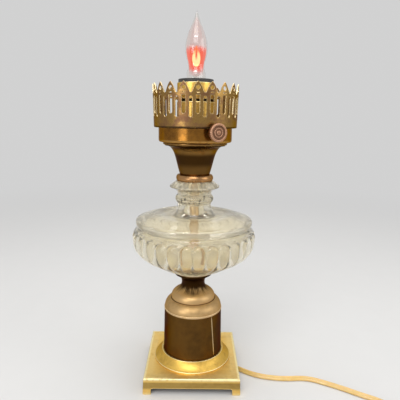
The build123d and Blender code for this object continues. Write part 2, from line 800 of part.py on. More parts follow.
with BuildPart() as spindle_bush:
    with BuildSketch(spindle_plane.offset(drum_radius - drum_sheet - bush_inner_length)):
        Circle(bush_radius)
    extrude(amount=bush_inner_length + drum_sheet)
    with BuildSketch(spindle_plane.offset(drum_radius)):
        Circle(bush_flange_radius)
    extrude(amount=bush_flange_thickness)
    with BuildSketch(spindle_plane):
        Circle(spindle_radius + spindle_running_gap)
    extrude(amount=knob_reach, mode=Mode.SUBTRACT)

with BuildPart() as knob:
    with BuildSketch(spindle_plane.offset(knob_back)):
        Circle(knob_radius)
        with PolarLocations(knob_radius, knob_notches):
            Circle(knob_notch_radius, mode=Mode.SUBTRACT)
    extrude(amount=knob_thickness)
    with BuildSketch(spindle_plane.offset(knob_reach)):
        Circle(knob_dish_radius)
    extrude(amount=-knob_dish_depth, mode=Mode.SUBTRACT)
    with BuildSketch(spindle_plane.offset(knob_back)):
        Circle(spindle_radius)
    extrude(amount=knob_socket_depth, mode=Mode.SUBTRACT)

# Bulb: contact, insulator and screw cap
with BuildPart() as bulb_contact:
    with BuildSketch(Plane.XY.offset(bulb_bottom)):
        Circle(bulb_contact_radius)
    extrude(amount=bulb_contact_height)
    fillet(bulb_contact.faces().sort_by(Axis.Z)[0].edges(), edge_round_share * bulb_contact_height)

with BuildPart() as bulb_insulator:
    with BuildSketch(Plane.XZ):
        Polygon((0, bulb_insulator_bottom), (bulb_contact_radius, bulb_insulator_bottom),
                (bulb_insulator_radius, bulb_cap_bottom), (0, bulb_cap_bottom), align=None)
    revolve(axis=Axis.Z)

cap_bore = bulb_cap_radius - bulb_cap_rib - bulb_cap_sheet
with BuildPart() as bulb_cap:
    with BuildSketch(Plane.XZ):
        ribbed_tube(cap_bore, bulb_cap_sheet, bulb_cap_rib, bulb_cap_ribs, bulb_cap_bottom, bulb_cap_height)
        with Locations((cap_bore / 2, bulb_cap_bottom + bulb_cap_sheet / 2)):
            Rectangle(cap_bore, bulb_cap_sheet)
        rim_bore = bulb_foot_radius - bulb_wall
        with Locations(((cap_bore + rim_bore) / 2, bulb_cap_top - bulb_cap_sheet / 2)):
            Rectangle(cap_bore - rim_bore, bulb_cap_sheet)
        with Locations((cap_bore - bulb_cap_sheet, bulb_cap_bottom + bulb_cap_height / 2)):
            Rectangle(2 * bulb_cap_sheet, bulb_cap_height - 2 * bulb_cap_sheet, mode=Mode.SUBTRACT)
    revolve(axis=Axis.Z)


def bulb_line(inset, tip_inset):
    """Draw the bulb's curve from its foot to its tip, moved inwards by the glass's wall."""
    bulb_foot = (bulb_foot_radius - inset, bulb_cap_top)
    bulb_bead = (bulb_foot_radius - inset, bulb_cap_top + bulb_bead_height)
    bulb_waist = (bulb_waist_radius - inset, bulb_cap_top + bulb_waist_height)
    bulb_belly = (bulb_radius - inset, bulb_cap_top + bulb_belly_height)
    bulb_taper = (bulb_taper_radius - inset, bulb_cap_top + bulb_taper_height)
    bulb_tip = (0, bulb_cap_top + bulb_height - tip_inset)
    Line(bulb_foot, bulb_bead)
    Spline(bulb_bead, bulb_waist, bulb_belly, tangents=[unit(bulb_waist_lean), upwards])
    Spline(bulb_belly, bulb_taper, bulb_tip, tangents=[upwards, unit(bulb_tip_lean)])
    return bulb_foot, bulb_tip


with BuildPart() as bulb_glass:
    with BuildSketch(Plane.XZ):
        with BuildLine():
            glass_foot, glass_tip = bulb_line(0, 0)
            hollow_foot, hollow_tip = bulb_line(bulb_wall, bulb_tip_wall)
            Line(glass_foot, hollow_foot)
            Line(hollow_tip, glass_tip)
        make_face()
    revolve(axis=Axis.Z)

# Bulb: stem, lead wires and the pair of flame-shaped electrodes
stem_bottom = bulb_cap_bottom + bulb_cap_sheet
stem_top = bulb_cap_top + stem_height
flame_bottom = stem_top + lead_wire_length
with BuildPart() as bulb_stem:
    with BuildSketch(Plane.XZ):
        Polygon((0, stem_bottom), (stem_radius, stem_bottom), (stem_radius, bulb_cap_top),
                (stem_head_radius, stem_top), (0, stem_top), align=None)
    revolve(axis=Axis.Z)

with BuildPart() as lead_wires:
    with BuildSketch(Plane.XY.offset(stem_top)):
        with Locations((0, lead_wire_spacing / 2), (0, -lead_wire_spacing / 2)):
            Circle(lead_wire_radius)
    extrude(amount=lead_wire_length)

with BuildPart() as flame_plates:
    for side in (-1, 1):
        plate_back = side * flame_gap / 2
        with BuildSketch(Plane.XZ.offset(plate_back)):
            with BuildLine():
                shank = (flame_shank_width / 2, flame_bottom)
                flame_side = (flame_width / 2, flame_bottom + flame_belly_height)
                flame_tip = (0, flame_bottom + flame_height)
                Line((0, flame_bottom), shank)
                Spline(shank, flame_side, tangents=[unit(flame_foot_slope), upwards])
                Spline(flame_side, flame_tip, tangents=[upwards, unit(flame_tip_lean)])
                mirror(about=Plane.YZ)
            make_face()
        extrude(amount=side * flame_thickness)

# Supply lead inside the pipe
lead_top = socket_cap_floor + block_recess_depth
with BuildPart() as supply_lead:
    with BuildSketch(Plane.XY.offset(pipe_nut_bottom)):
        Circle(cord_diameter / 2)
    extrude(amount=lead_top - pipe_nut_bottom)

# Route of the free cord: out of the pipe, under the apron, along the table and into the coil
cord_level = cord_diameter / 2 + cord_floor_gap
coil_floor = tie_thickness
coil_outer_radius = coil_mid_diameter / 2 + coil_columns * cord_diameter / 2
coil_inner_radius = coil_mid_diameter / 2 - coil_columns * cord_diameter / 2
coil_height = coil_rows * cord_diameter
coil_lane_radius = coil_outer_radius - cord_diameter / 2
top_lane_level = coil_floor + coil_height - cord_diameter / 2
cord_points = [
    (0, 0, pipe_nut_bottom),
    (0, 0, cord_level + 3.4),
    (3.4, 0.3, cord_level),
    (9.6, 1.2, cord_level),
    (20, 2.2, cord_level),
    (36, 1.6, cord_level),
    (50, -3.6, cord_level),
    (61.5, -12.6, cord_level),
    (75, -20, cord_level),
    (92, -24, cord_level),
    (108, -24.8, cord_level),
    (121.5, -23.4, cord_level),
    (133.5, -25.2, cord_level),
    (147.5, -32.2, cord_level),
    (163, -41, cord_level),
    (178, -51.2, cord_level),
    (191.5, -59, cord_level),
    (202, -67.6, cord_level),
    (208.6, -79, cord_level),
    (211.6, -92.5, cord_level),
    (211.8, -107, cord_level),
    (coil_centre[0] + coil_lane_radius, coil_centre[1] + 6, cord_level + 0.5),
]
plug_level = plug_thickness / 2
tail_points = [
    (coil_centre[0] - 4, coil_centre[1] - coil_lane_radius, top_lane_level),
    (coil_centre[0] - 14, coil_centre[1] - coil_lane_radius - 0.2, top_lane_level - 0.6),
    (150, -160, 10),
    (138, -155.4, 7.2),
    (126, -149.6, plug_level),
    (115, -144.1, plug_level),
]


def corner_radii(points):
    """Radius of the arc at each corner of a route, as large as its two runs allow."""
    spots = [Vector(*point) for point in points]
    radii = []
    for before, corner, after in zip(spots, spots[1:], spots[2:]):
        run_in = corner - before
        run_out = after - corner
        half_turn = radians(run_in.get_angle(run_out)) / 2
        radii.append(cord_round_share * min(run_in.length, run_out.length) / tan(half_turn))
    return radii


def cord_tube(points):
    """Sweep the cord's round section along straight runs joined by tangent arcs."""
    with BuildLine() as route:
        FilletPolyline(*points, radius=corner_radii(points))
    with BuildSketch(Plane(origin=route.line @ 0, z_dir=route.line % 0)) as section:
        Circle(cord_diameter / 2)
    sweep(section.sketch, path=route.line)
    return route.wire().length


with BuildPart() as cord_run:
    run_length = cord_tube(cord_points)

with BuildPart() as cord_tail:
    tail_length = cord_tube(tail_points)

coil_middle = Vector(coil_centre[0], coil_centre[1], 0)
with BuildPart() as cord_coil:
    with BuildSketch(Plane(origin=coil_middle, x_dir=(1, 0, 0), z_dir=(0, -1, 0))):
        with Locations((coil_mid_diameter / 2, coil_floor + coil_height / 2)):
            RectangleRounded(coil_outer_radius - coil_inner_radius, coil_height, coil_round)
    revolve(axis=Axis(coil_middle, (0, 0, 1)))

tie_direction = Vector(cos(radians(tie_bearing)), sin(radians(tie_bearing)), 0)
tie_plane = Plane(origin=coil_middle, x_dir=tie_direction, z_dir=tie_direction.cross(Vector(0, 0, 1)))
tie_inner_height = coil_height + tie_gap
with BuildPart() as cord_tie:
    with BuildSketch(tie_plane.offset(-tie_width / 2)):
        tie_inner_width = coil_outer_radius - coil_inner_radius + 2 * tie_gap
        with Locations((coil_mid_diameter / 2, coil_floor + tie_inner_height / 2)):
            RectangleRounded(tie_inner_width + 2 * tie_thickness, tie_inner_height + 2 * tie_thickness,
                             coil_round)
            RectangleRounded(tie_inner_width, tie_inner_height, coil_round - tie_thickness, mode=Mode.SUBTRACT)
    extrude(amount=tie_width)

# Plug lying on the table beside the coil
plug_heading = (Vector(*tail_points[-1]) - Vector(*tail_points[-2])).normalized()
plug_across = plug_heading.cross(Vector(0, 0, 1)) * -1
plug_plane = Plane(origin=tail_points[-1], x_dir=plug_across, z_dir=plug_heading)
with BuildPart() as plug_body:
    with BuildSketch(plug_plane):
        RectangleRounded(plug_tail_width, plug_tail_thickness, plug_tail_round)
    with BuildSketch(plug_plane.offset(plug_shoulder)):
        RectangleRounded(plug_width, plug_thickness, plug_round)
    with BuildSketch(plug_plane.offset(plug_length)):
        RectangleRounded(plug_width, plug_thickness, plug_round)
    loft(ruled=True)

with BuildPart() as plug_blades:
    with BuildSketch(plug_plane.offset(plug_length)):
        with Locations((blade_spacing / 2, 0), (-blade_spacing / 2, 0)):
            Rectangle(blade_thickness, blade_width)
    extrude(amount=blade_length)

nodes = {
    "plinth": plinth, "seat_ring": seat_ring, "pillar_tube": pillar_tube, "pillar_seam": pillar_seam,
    "shoulder_cap": shoulder_cap, "waist_spool": waist_spool, "cup_washer": cup_washer,
    "glass_font": glass_font, "cement_ring": cement_ring, "collar": collar, "burner_bell": burner_bell,
    "seam_ring": seam_ring, "burner_drum": burner_drum, "gallery": gallery, "centre_pipe": centre_pipe,
    "check_plate": check_plate, "lock_washer": lock_washer, "pipe_nut": pipe_nut,
    "socket_cap": socket_cap, "socket_body": socket_body, "terminal_screws": terminal_screws,
    "socket_liner": socket_liner, "socket_shell": socket_shell, "screw_shell": screw_shell,
    "centre_contact": centre_contact, "switch_spindle": switch_spindle, "spindle_bush": spindle_bush,
    "knob": knob, "bulb_contact": bulb_contact, "bulb_insulator": bulb_insulator, "bulb_cap": bulb_cap,
    "bulb_glass": bulb_glass, "bulb_stem": bulb_stem, "lead_wires": lead_wires,
    "flame_plates": flame_plates, "supply_lead": supply_lead, "cord_run": cord_run,
    "cord_coil": cord_coil, "cord_tie": cord_tie, "cord_tail": cord_tail, "plug_body": plug_body,
    "plug_blades": plug_blades,
}
os.makedirs("parts", exist_ok=True)
for name, node in nodes.items():
    node.part.label = name
    export_step(node.part, f"parts/{name}.step")

section = pi * cord_diameter ** 2 / 4
for name, points, node, length in (("cord_run", cord_points, cord_run, run_length),
                                   ("cord_tail", tail_points, cord_tail, tail_length)):
    print(name, "length", round(length, 1))
    print(name, "volume", round(node.part.volume), "expected", round(section * length))
    print(name, "radii", [round(radius, 1) for radius in corner_radii(points)])
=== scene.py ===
"""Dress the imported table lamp: camera, light, finishes, supply cord and finely turned pieces.

Metres, +Z up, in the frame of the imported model. Radii are counted from the lamp's axis, bearings from the
front (-Y) towards +X.
"""

import logging
from contextlib import contextmanager
from dataclasses import dataclass, field
from enum import Enum
from math import atan2, cos, degrees, dist, pi, radians, sin, sqrt, tan, tau
from typing import Callable, Iterable, Iterator, Sequence, Union

import bmesh
import bpy
from mathutils import Matrix, Vector


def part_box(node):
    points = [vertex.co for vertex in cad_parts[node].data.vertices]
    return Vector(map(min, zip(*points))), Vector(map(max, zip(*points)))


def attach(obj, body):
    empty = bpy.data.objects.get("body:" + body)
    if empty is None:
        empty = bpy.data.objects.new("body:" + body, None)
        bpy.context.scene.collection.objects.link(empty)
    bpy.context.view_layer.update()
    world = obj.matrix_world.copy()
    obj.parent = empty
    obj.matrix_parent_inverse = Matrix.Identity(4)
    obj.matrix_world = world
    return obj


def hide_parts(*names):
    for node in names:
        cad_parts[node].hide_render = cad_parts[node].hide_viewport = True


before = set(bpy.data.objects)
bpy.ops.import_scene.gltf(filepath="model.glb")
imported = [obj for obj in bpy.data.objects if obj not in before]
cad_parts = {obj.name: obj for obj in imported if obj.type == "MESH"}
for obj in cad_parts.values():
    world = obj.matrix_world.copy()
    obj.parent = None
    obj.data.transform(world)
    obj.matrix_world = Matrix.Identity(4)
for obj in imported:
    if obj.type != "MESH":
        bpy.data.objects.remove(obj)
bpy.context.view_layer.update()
LOG = logging.getLogger("lamp")

Colour = tuple[float, float, float]
Spot = tuple[float, float]
Place = tuple[float, float, float]
Mesh = bpy.types.Mesh
Material = bpy.types.Material
Piece = bpy.types.Object

BLACK: Colour = (0.0, 0.0, 0.0)
WHITE: Colour = (1.0, 1.0, 1.0)
UP = Vector((0.0, 0.0, 1.0))
HAIR = 1e-6
FINE_EDGE = 0.0002
EDGE = 0.0003
SOFT_EDGE = 0.0004
OUTWARDS = 0.0
UPWARDS = 90.0
INWARDS = 180.0
DOWNWARDS = 270.0


class Graph:
    """Adds nodes to one node tree, with their settings and what feeds their sockets."""

    def __init__(self, tree: bpy.types.NodeTree) -> None:
        """Keep the tree that the nodes go into."""
        self.tree = tree

    def add(self, kind: str, inputs: dict | None = None, **settings: object) -> bpy.types.Node:
        """Add one node.

        Args:
            kind: The node's type.
            inputs: Value or field for each named or numbered input.
            settings: Properties of the node, which are set first.

        Returns:
            The new node.
        """
        node = self.tree.nodes.new(kind)
        for name, value in settings.items():
            setattr(node, name, value)
        for key, value in (inputs or {}).items():
            socket = node.inputs[key]
            if isinstance(value, Field):
                self.tree.links.new(value.socket, socket)
            elif socket.type == "RGBA" and len(value) == 3:
                socket.default_value = (*value, 1.0)
            else:
                socket.default_value = value
        return node

    def get(self, kind: str, inputs: dict | None = None, output: Union[str, int] = 0,
            **settings: object) -> "Field":
        """Add one node and return one of its outputs as a field."""
        return Field(self, self.add(kind, inputs, **settings).outputs[output])

    def maths(self, operation: str, *terms: "Operand") -> "Field":
        """Add a Math node for an operation on some terms."""
        return self.get("ShaderNodeMath", dict(enumerate(terms)), operation=operation)

    def vector(self, x: "Operand", y: "Operand", z: "Operand") -> "Field":
        """Join three numbers to a vector."""
        return self.get("ShaderNodeCombineXYZ", {0: x, 1: y, 2: z})

    def split(self, vector: "Field") -> list["Field"]:
        """Part a vector into its three numbers."""
        return [Field(self, socket) for socket in self.add("ShaderNodeSeparateXYZ", {0: vector}).outputs]

    def mix(self, share: "Operand", first: "Tint", second: "Tint") -> "Field":
        """Blend two colours, the second by its share."""
        inputs = {0: share, 6: first, 7: second}
        return self.get("ShaderNodeMix", inputs, 2, data_type="RGBA", clamp_factor=True)


def math_node(operation: str, swapped: bool = False) -> Callable[["Field", "Operand"], "Field"]:
    """Make a method of Field that adds one kind of Math node.

    Args:
        operation: The node's operation.
        swapped: Whether the field is the second term, as in a reflected operator.

    Returns:
        The method.
    """
    def work(near: "Field", far: "Operand") -> "Field":
        """Work on the field and another operand."""
        terms = (far, near) if swapped else (near, far)
        return near.graph.maths(operation, *terms)

    return work


class Field:
    """A node's output that Python's operators work on, each operation a Math node."""

    __add__, __radd__ = math_node("ADD"), math_node("ADD", swapped=True)
    __sub__, __rsub__ = math_node("SUBTRACT"), math_node("SUBTRACT", swapped=True)
    __mul__, __rmul__ = math_node("MULTIPLY"), math_node("MULTIPLY", swapped=True)
    __truediv__, __rtruediv__ = math_node("DIVIDE"), math_node("DIVIDE", swapped=True)
    __pow__ = math_node("POWER")
    most = math_node("MAXIMUM")

    def __init__(self, graph: Graph, socket: bpy.types.NodeSocket) -> None:
        """Keep the socket and the graph that it is in."""
        self.graph = graph
        self.socket = socket

    def __abs__(self) -> "Field":
        """Size without its sign."""
        return self.graph.maths("ABSOLUTE", self)

    def sine(self) -> "Field":
        """Sine of an angle in radians."""
        return self.graph.maths("SINE", self)

    def ramp(self, low: float, high: float) -> "Field":
        """Smooth step from 0 at low to 1 at high."""
        inputs = {0: self, 1: low, 2: high, 3: 0.0, 4: 1.0}
        return self.graph.get("ShaderNodeMapRange", inputs, interpolation_type="SMOOTHSTEP")

    def within(self, low: float, high: float, risen: float, falls: float) -> "Field":
        """Smooth window between two levels.

        Args:
            low: Where the window starts.
            high: Where it ends.
            risen: Share of the window after which it is fully open.
            falls: Share of the window after which it closes.

        Returns:
            A field that is 1 inside the window and 0 outside.
        """
        share = (self - low) / (high - low)
        return share.ramp(0.0, risen) * (1.0 - share.ramp(falls, 1.0))


Operand = Union[Field, float]
Tint = Union[Field, Colour]


class Surface(Graph):
    """The node tree of one finish, with the coordinates and noises that its patterns share."""

    streak_radius: float = 0.02
    axis_guard: float = 0.0001

    def __init__(self, name: str) -> None:
        """Start an empty material with a name."""
        self.material = bpy.data.materials.new(name)
        self.material.use_nodes = True
        super().__init__(self.material.node_tree)
        self.tree.nodes.clear()
        self.place = self.get("ShaderNodeTexCoord", output="Object")
        self.x, self.y, self.z = self.split(self.place)
        self.radius = (self.x * self.x + self.y * self.y) ** 0.5

    def noise(self, size: float, detail: float = 3.0, where: Field | None = None,
              twist: float = 0.0) -> Field:
        """Noise from 0 to 1 with patches of about one size."""
        return self.get("ShaderNodeTexNoise", {
            "Vector": where or self.place, "Scale": 1.0 / size, "Detail": detail, "Distortion": twist})

    def streaks(self, size: float, reach: float) -> Field:
        """Noise in upright streaks round the lamp's axis, a streak's size wide and its reach high."""
        turn = self.streak_radius / (self.radius + self.axis_guard)
        return self.noise(size, where=self.vector(self.x * turn, self.y * turn, self.z * (size / reach)))

    def attribute(self, name: str) -> Field:
        """A number kept on the mesh."""
        return self.get("ShaderNodeAttribute", output="Fac", attribute_name=name)

    def bump(self, height: Field, strength: float, depth: float) -> Field:
        """Normal for a height field, with the depth of its relief in metres."""
        return self.get("ShaderNodeBump", {"Strength": strength, "Distance": depth, "Height": height})

    def principled(self, inputs: dict) -> Field:
        """A Principled shader."""
        return self.get("ShaderNodeBsdfPrincipled", inputs)

    def cover(self, share: Field, under: Field, over: Field) -> Field:
        """Mix one shader over another by its share."""
        return self.get("ShaderNodeMixShader", {0: share, 1: under, 2: over})

    def close(self, shader: Field) -> Material:
        """Send a shader to the output and return the material."""
        self.add("ShaderNodeOutputMaterial", {"Surface": shader})
        return self.material


class Marks(Enum):
    """How a metal surface was last worked, which sets the run of its fine lines."""

    TURNED = "rings about the lamp's axis"
    BRUSHED = "straight strokes along X"
    CAST = "grain with no direction"

    def lines(self, surface: Surface, size: float) -> Field:
        """Noise in the run of these marks.

        Args:
            surface: The finish that the marks are in.
            size: Width of one line, in metres.

        Returns:
            A field from 0 to 1.
        """
        if self is Marks.CAST:
            return surface.noise(size, 5.0)
        if self is Marks.TURNED:
            ring_stretch = 0.02
            run = surface.vector(surface.radius, surface.z, surface.x * ring_stretch)
        else:
            stroke_stretch = 0.03
            run = surface.vector(surface.x * stroke_stretch, surface.y, surface.z)
        return surface.noise(size, 4.0, run)


@dataclass(frozen=True)
class Metal:
    """Metal with tarnish, fine working marks, bright worn edges and painted shade where the wear attribute is
    below zero.
    """

    name: str
    bright: Colour
    tarnish: Colour
    worn: Colour
    cover: float = 0.4
    patch: float = 0.022
    patch_blur: float = 0.13
    patch_levels: Spot = (0.68, 0.32)
    patch_twist: float = 0.7
    fine_share: float = 0.28
    stain_dull: float = 0.15
    smooth: float = 0.2
    dull: float = 0.42
    marks: Marks = Marks.TURNED
    mark_size: float = 0.0007
    mark_depth: float = 0.00004
    mark_tint: float = 0.22
    mark_gloss: float = 0.10
    grain_size: float = 0.0011
    grain_gloss: float = 0.08
    grain_height: float = 0.4
    wear: float = 0.8
    wear_patch: float = 0.004
    wear_gloss: float = 0.06
    # colour of the painted shade, mixed in where the wear attribute is below zero
    painted_shade: Colour = (0.02, 0.014, 0.008)
    glancing: Colour = (0.60, 0.46, 0.30)

    def stain(self, surface: Surface) -> Field:
        """Share of tarnish at each point."""
        bare, full = self.patch_levels
        edge = bare + (full - bare) * self.cover
        coarse = surface.noise(self.patch, 6.0, twist=self.patch_twist)
        cloud = coarse * (1 - self.fine_share) + surface.noise(self.patch / 8, 4.0) * self.fine_share
        return cloud.ramp(edge - self.patch_blur, edge + self.patch_blur)

    def build(self) -> Material:
        """Return the material of this metal."""
        surface = Surface(self.name)
        stain = self.stain(surface)
        lines = self.marks.lines(surface, self.mark_size)
        edge = surface.attribute("wear")
        worn = edge.ramp(0.0, 1.0) * surface.noise(self.wear_patch).ramp(0.1, 0.5) * self.wear
        grain = surface.noise(self.grain_size)
        body = surface.mix(stain, self.bright, self.tarnish)
        body = surface.mix(lines * self.mark_tint, body, self.tarnish)
        # painted shade: below zero the wear attribute darkens the colour towards the shade colour
        body = surface.mix((0.0 - edge).ramp(0.0, 1.0), body, self.painted_shade)
        rough = self.smooth + stain * (self.dull - self.smooth)
        rough = rough + (lines - 0.5) * self.mark_gloss + (grain - 0.5) * self.grain_gloss
        return surface.close(surface.principled({
            "Base Color": surface.mix(worn, body, self.worn),
            "Metallic": 1.0 - stain * self.stain_dull,
            "Roughness": rough - worn * self.wear_gloss,
            "Specular Tint": self.glancing,
            "Normal": surface.bump(lines + grain * self.grain_height, 0.5, self.mark_depth)}))


@dataclass(frozen=True)
class DrippedMetal(Metal):
    """Metal whose dark patina ends in drips above a level."""

    level: float = 0.0
    drip: float = 0.01
    streak: Spot = (0.0016, 0.012)
    fine_streak: Spot = (0.0007, 0.006)
    fine_run: float = 0.3

    def stain(self, surface: Surface) -> Field:
        """Share of patina: all of it above the drips, none below."""
        run = surface.streaks(*self.streak) * (1 - self.fine_run)
        run = run + surface.streaks(*self.fine_streak) * self.fine_run
        height = surface.z + (run - 0.5) * (3 * self.drip)
        return height.ramp(self.level - self.drip / 2, self.level + self.drip / 2)


@dataclass(frozen=True)
class HighlightBandMetal(Metal):
    """Dark metal with a painted highlight in a band below its rim, and lighter above its foot."""

    highlight_level: float = 0.0
    highlight_half: float = 0.004
    foot_level: float = 0.0
    foot_rise: float = 0.011
    foot_share: float = 0.5
    lighter_least: float = 0.45
    lighter_patches: float = 0.9

    def stain(self, surface: Surface) -> Field:
        """Share of dark patina, least in the band of painted highlight and near the foot."""
        # painted highlight: a bright band below the bell's rim
        band = 1.0 - (abs(surface.z - self.highlight_level) / self.highlight_half).ramp(0.0, 1.0)
        bare = 1.0 - (surface.z - self.foot_level).ramp(self.foot_rise / 3, self.foot_rise)
        patches = self.lighter_least + surface.noise(self.patch, 5.0) * self.lighter_patches
        return 1.0 - band.most(bare * self.foot_share) * patches


@dataclass(frozen=True)
class Glass:
    """Clear glass with a faint tint and an uneven face."""

    name: str
    tint: Colour
    ripple_size: float
    ripple_depth: float
    clear: float = 1.0
    index: float = 1.5
    roughness: float = 0.01
    smear_pale: float = 0.3
    smear_dull: float = 0.03

    def height(self, surface: Surface) -> Field:
        """Height of the uneven face, as a share of its depth."""
        return surface.noise(self.ripple_size, 2.0)

    def veil(self, surface: Surface, glass: Field) -> Field:
        """Cover of the clear glass, which is none here."""
        return glass

    def build(self) -> Material:
        """Return the material of this glass."""
        surface = Surface(self.name)
        smear = surface.noise(self.ripple_size * 3, 4.0)
        glass = surface.principled({
            "Base Color": surface.mix(smear.ramp(0.35, 0.75) * self.smear_pale, self.tint, WHITE),
            "Roughness": self.roughness + smear.ramp(0.5, 0.8) * self.smear_dull,
            "IOR": self.index,
            "Transmission Weight": self.clear,
            "Normal": surface.bump(self.height(surface), 0.6, self.ripple_depth)})
        return surface.close(self.veil(surface, glass))


@dataclass(frozen=True)
class PressedGlass(Glass):
    """Pressed glass with a creamy foot that glows with painted light, cream bands, fine rings about its rim
    and dark specks on its neck.

    Its levels are counted from the foot. A band has its lower level, its upper level and its share of cream.
    """

    foot: float = 0.0
    foot_reach: float = 0.02
    foot_share: float = 0.6
    # painted glow: reach and strength of the cream light given off near the foot
    foot_glow_reach: float = 0.007
    foot_glow: float = 0.55
    cream: Colour = (0.93, 0.84, 0.60)
    neck: Spot = (0.0760, 0.0895)
    neck_cream: float = 0.28
    speck: Colour = (0.06, 0.045, 0.025)
    speck_size: float = 0.0030
    speck_share: float = 0.85
    bands: tuple[Place, ...] = ((0.0522, 0.0660, 0.11), (0.0870, 0.1030, 0.17))
    rings: Spot = (0.0455, 0.0580)
    ring_pitch: float = 0.0021
    ring_share: float = 1.6

    def height(self, surface: Surface) -> Field:
        """Height of the uneven face with the fine rings about the rim."""
        zone = (surface.z - self.foot).within(*self.rings, 0.2, 0.8)
        wave = (surface.z * (tau / self.ring_pitch)).sine()
        return super().height(surface) + wave * zone * self.ring_share

    def veil(self, surface: Surface, glass: Field) -> Field:
        """Mix the cream, the specks and the painted glow at the foot over the clear glass."""
        rise = surface.z - self.foot
        neck = rise.within(*self.neck, 0.15, 0.85)
        specks = neck * surface.noise(self.speck_size, 2.0).ramp(0.56, 0.60)
        ground = (1.0 - rise.ramp(0.0, self.foot_reach)) * self.foot_share
        ground = ground.most(neck * self.neck_cream)
        for low, high, share in self.bands:
            ground = ground.most(rise.within(low, high, 0.15, 0.8) * share)
        # painted glow: the cream layer emits light near the foot
        matt = surface.principled({
            "Base Color": surface.mix(specks, self.cream, self.speck),
            "Roughness": 0.4,
            "Emission Color": surface.mix(rise.ramp(0.0, self.foot_glow_reach), self.cream, BLACK),
            "Emission Strength": self.foot_glow})
        return surface.cover(ground.most(specks * self.speck_share), glass, matt)


@dataclass(frozen=True)
class Moulded:
    """Moulded or set matter with mottled colour and a fine grain: plastic, plaster, felt or paper."""

    name: str
    body: Colour
    shade: Colour
    roughness: float
    mottle_size: float = 0.009
    grain: float = 0.0008
    grain_share: float = 0.3
    grain_gloss: float = 0.12
    depth: float = 0.00003
    coat: float = 0.0
    glow_through: float = 0.0
    glow_depth: float = 0.002

    def build(self) -> Material:
        """Return the material."""
        surface = Surface(self.name)
        mottle = surface.noise(self.mottle_size, 4.0).ramp(0.3, 0.72)
        grain = surface.noise(self.grain, 4.0)
        blend = mottle * (1 - self.grain_share) + grain * self.grain_share
        return surface.close(surface.principled({
            "Base Color": surface.mix(blend, self.body, self.shade),
            "Roughness": self.roughness + (grain - 0.5) * self.grain_gloss,
            "Coat Weight": self.coat,
            "Subsurface Weight": self.glow_through,
            "Subsurface Scale": self.glow_depth,
            "Normal": surface.bump(grain, 0.4, self.depth)}))


@dataclass(frozen=True)
class Glow:
    """A glowing surface, hot about one level and cooler away from it, see-through below an alpha of 1."""

    name: str
    hot: Colour
    cool: Colour
    level: float
    reach: float
    strength: float
    alpha: float = 1.0
    slit: float = 0.0
    far_share: float = 0.05
    flicker_size: float = 0.003
    flicker: float = 0.5

    def build(self) -> Material:
        """Return the material."""
        surface = Surface(self.name)
        rise = surface.z - self.level
        flicker = (surface.noise(self.flicker_size) - 0.5) * self.flicker
        cooled = (abs(rise) / self.reach + flicker).ramp(0.35, 1.0)
        if self.slit > 0.0:
            beside = abs(surface.x) / self.slit
            cooled = cooled.most((1.0 - beside.ramp(0.4, 1.0)) * rise.ramp(-self.slit, self.slit * 3))
        alpha = 1.0
        if self.alpha < 1.0:
            alpha = (1.0 - cooled * (1.0 - self.far_share)) * self.alpha
        return surface.close(surface.principled({
            "Base Color": BLACK, "Specular IOR Level": 0.0, "Roughness": 0.6, "Alpha": alpha,
            "Emission Color": surface.mix(cooled, self.hot, self.cool), "Emission Strength": self.strength}))


def slope_like(rate: Vector, slope: float) -> Vector:
    """Tangent on a slope in degrees, as strong as a rate, both measured along the axes."""
    way = Vector((cos(radians(slope)), sin(radians(slope))))
    return way * ((abs(rate.x) + abs(rate.y)) / (abs(way.x) + abs(way.y)))


def eased(share: float) -> float:
    """Share from 0 to 1 that starts and ends gently."""
    share = min(max(share, 0.0), 1.0)
    return share * share * (3 - 2 * share)


def boxed(wave: float, power: float) -> float:
    """Sine or cosine of a section with flattened sides."""
    return abs(wave) ** power * (1 if wave >= 0 else -1)


@dataclass(frozen=True)
class Station:
    """A point of a turned outline, with how much of a worn edge it is, or below zero how much painted shade
    darkens it.
    """

    radius: float
    height: float
    wear: float = 0.0

    @property
    def spot(self) -> Vector:
        """Radius and height as a vector."""
        return Vector((self.radius, self.height))


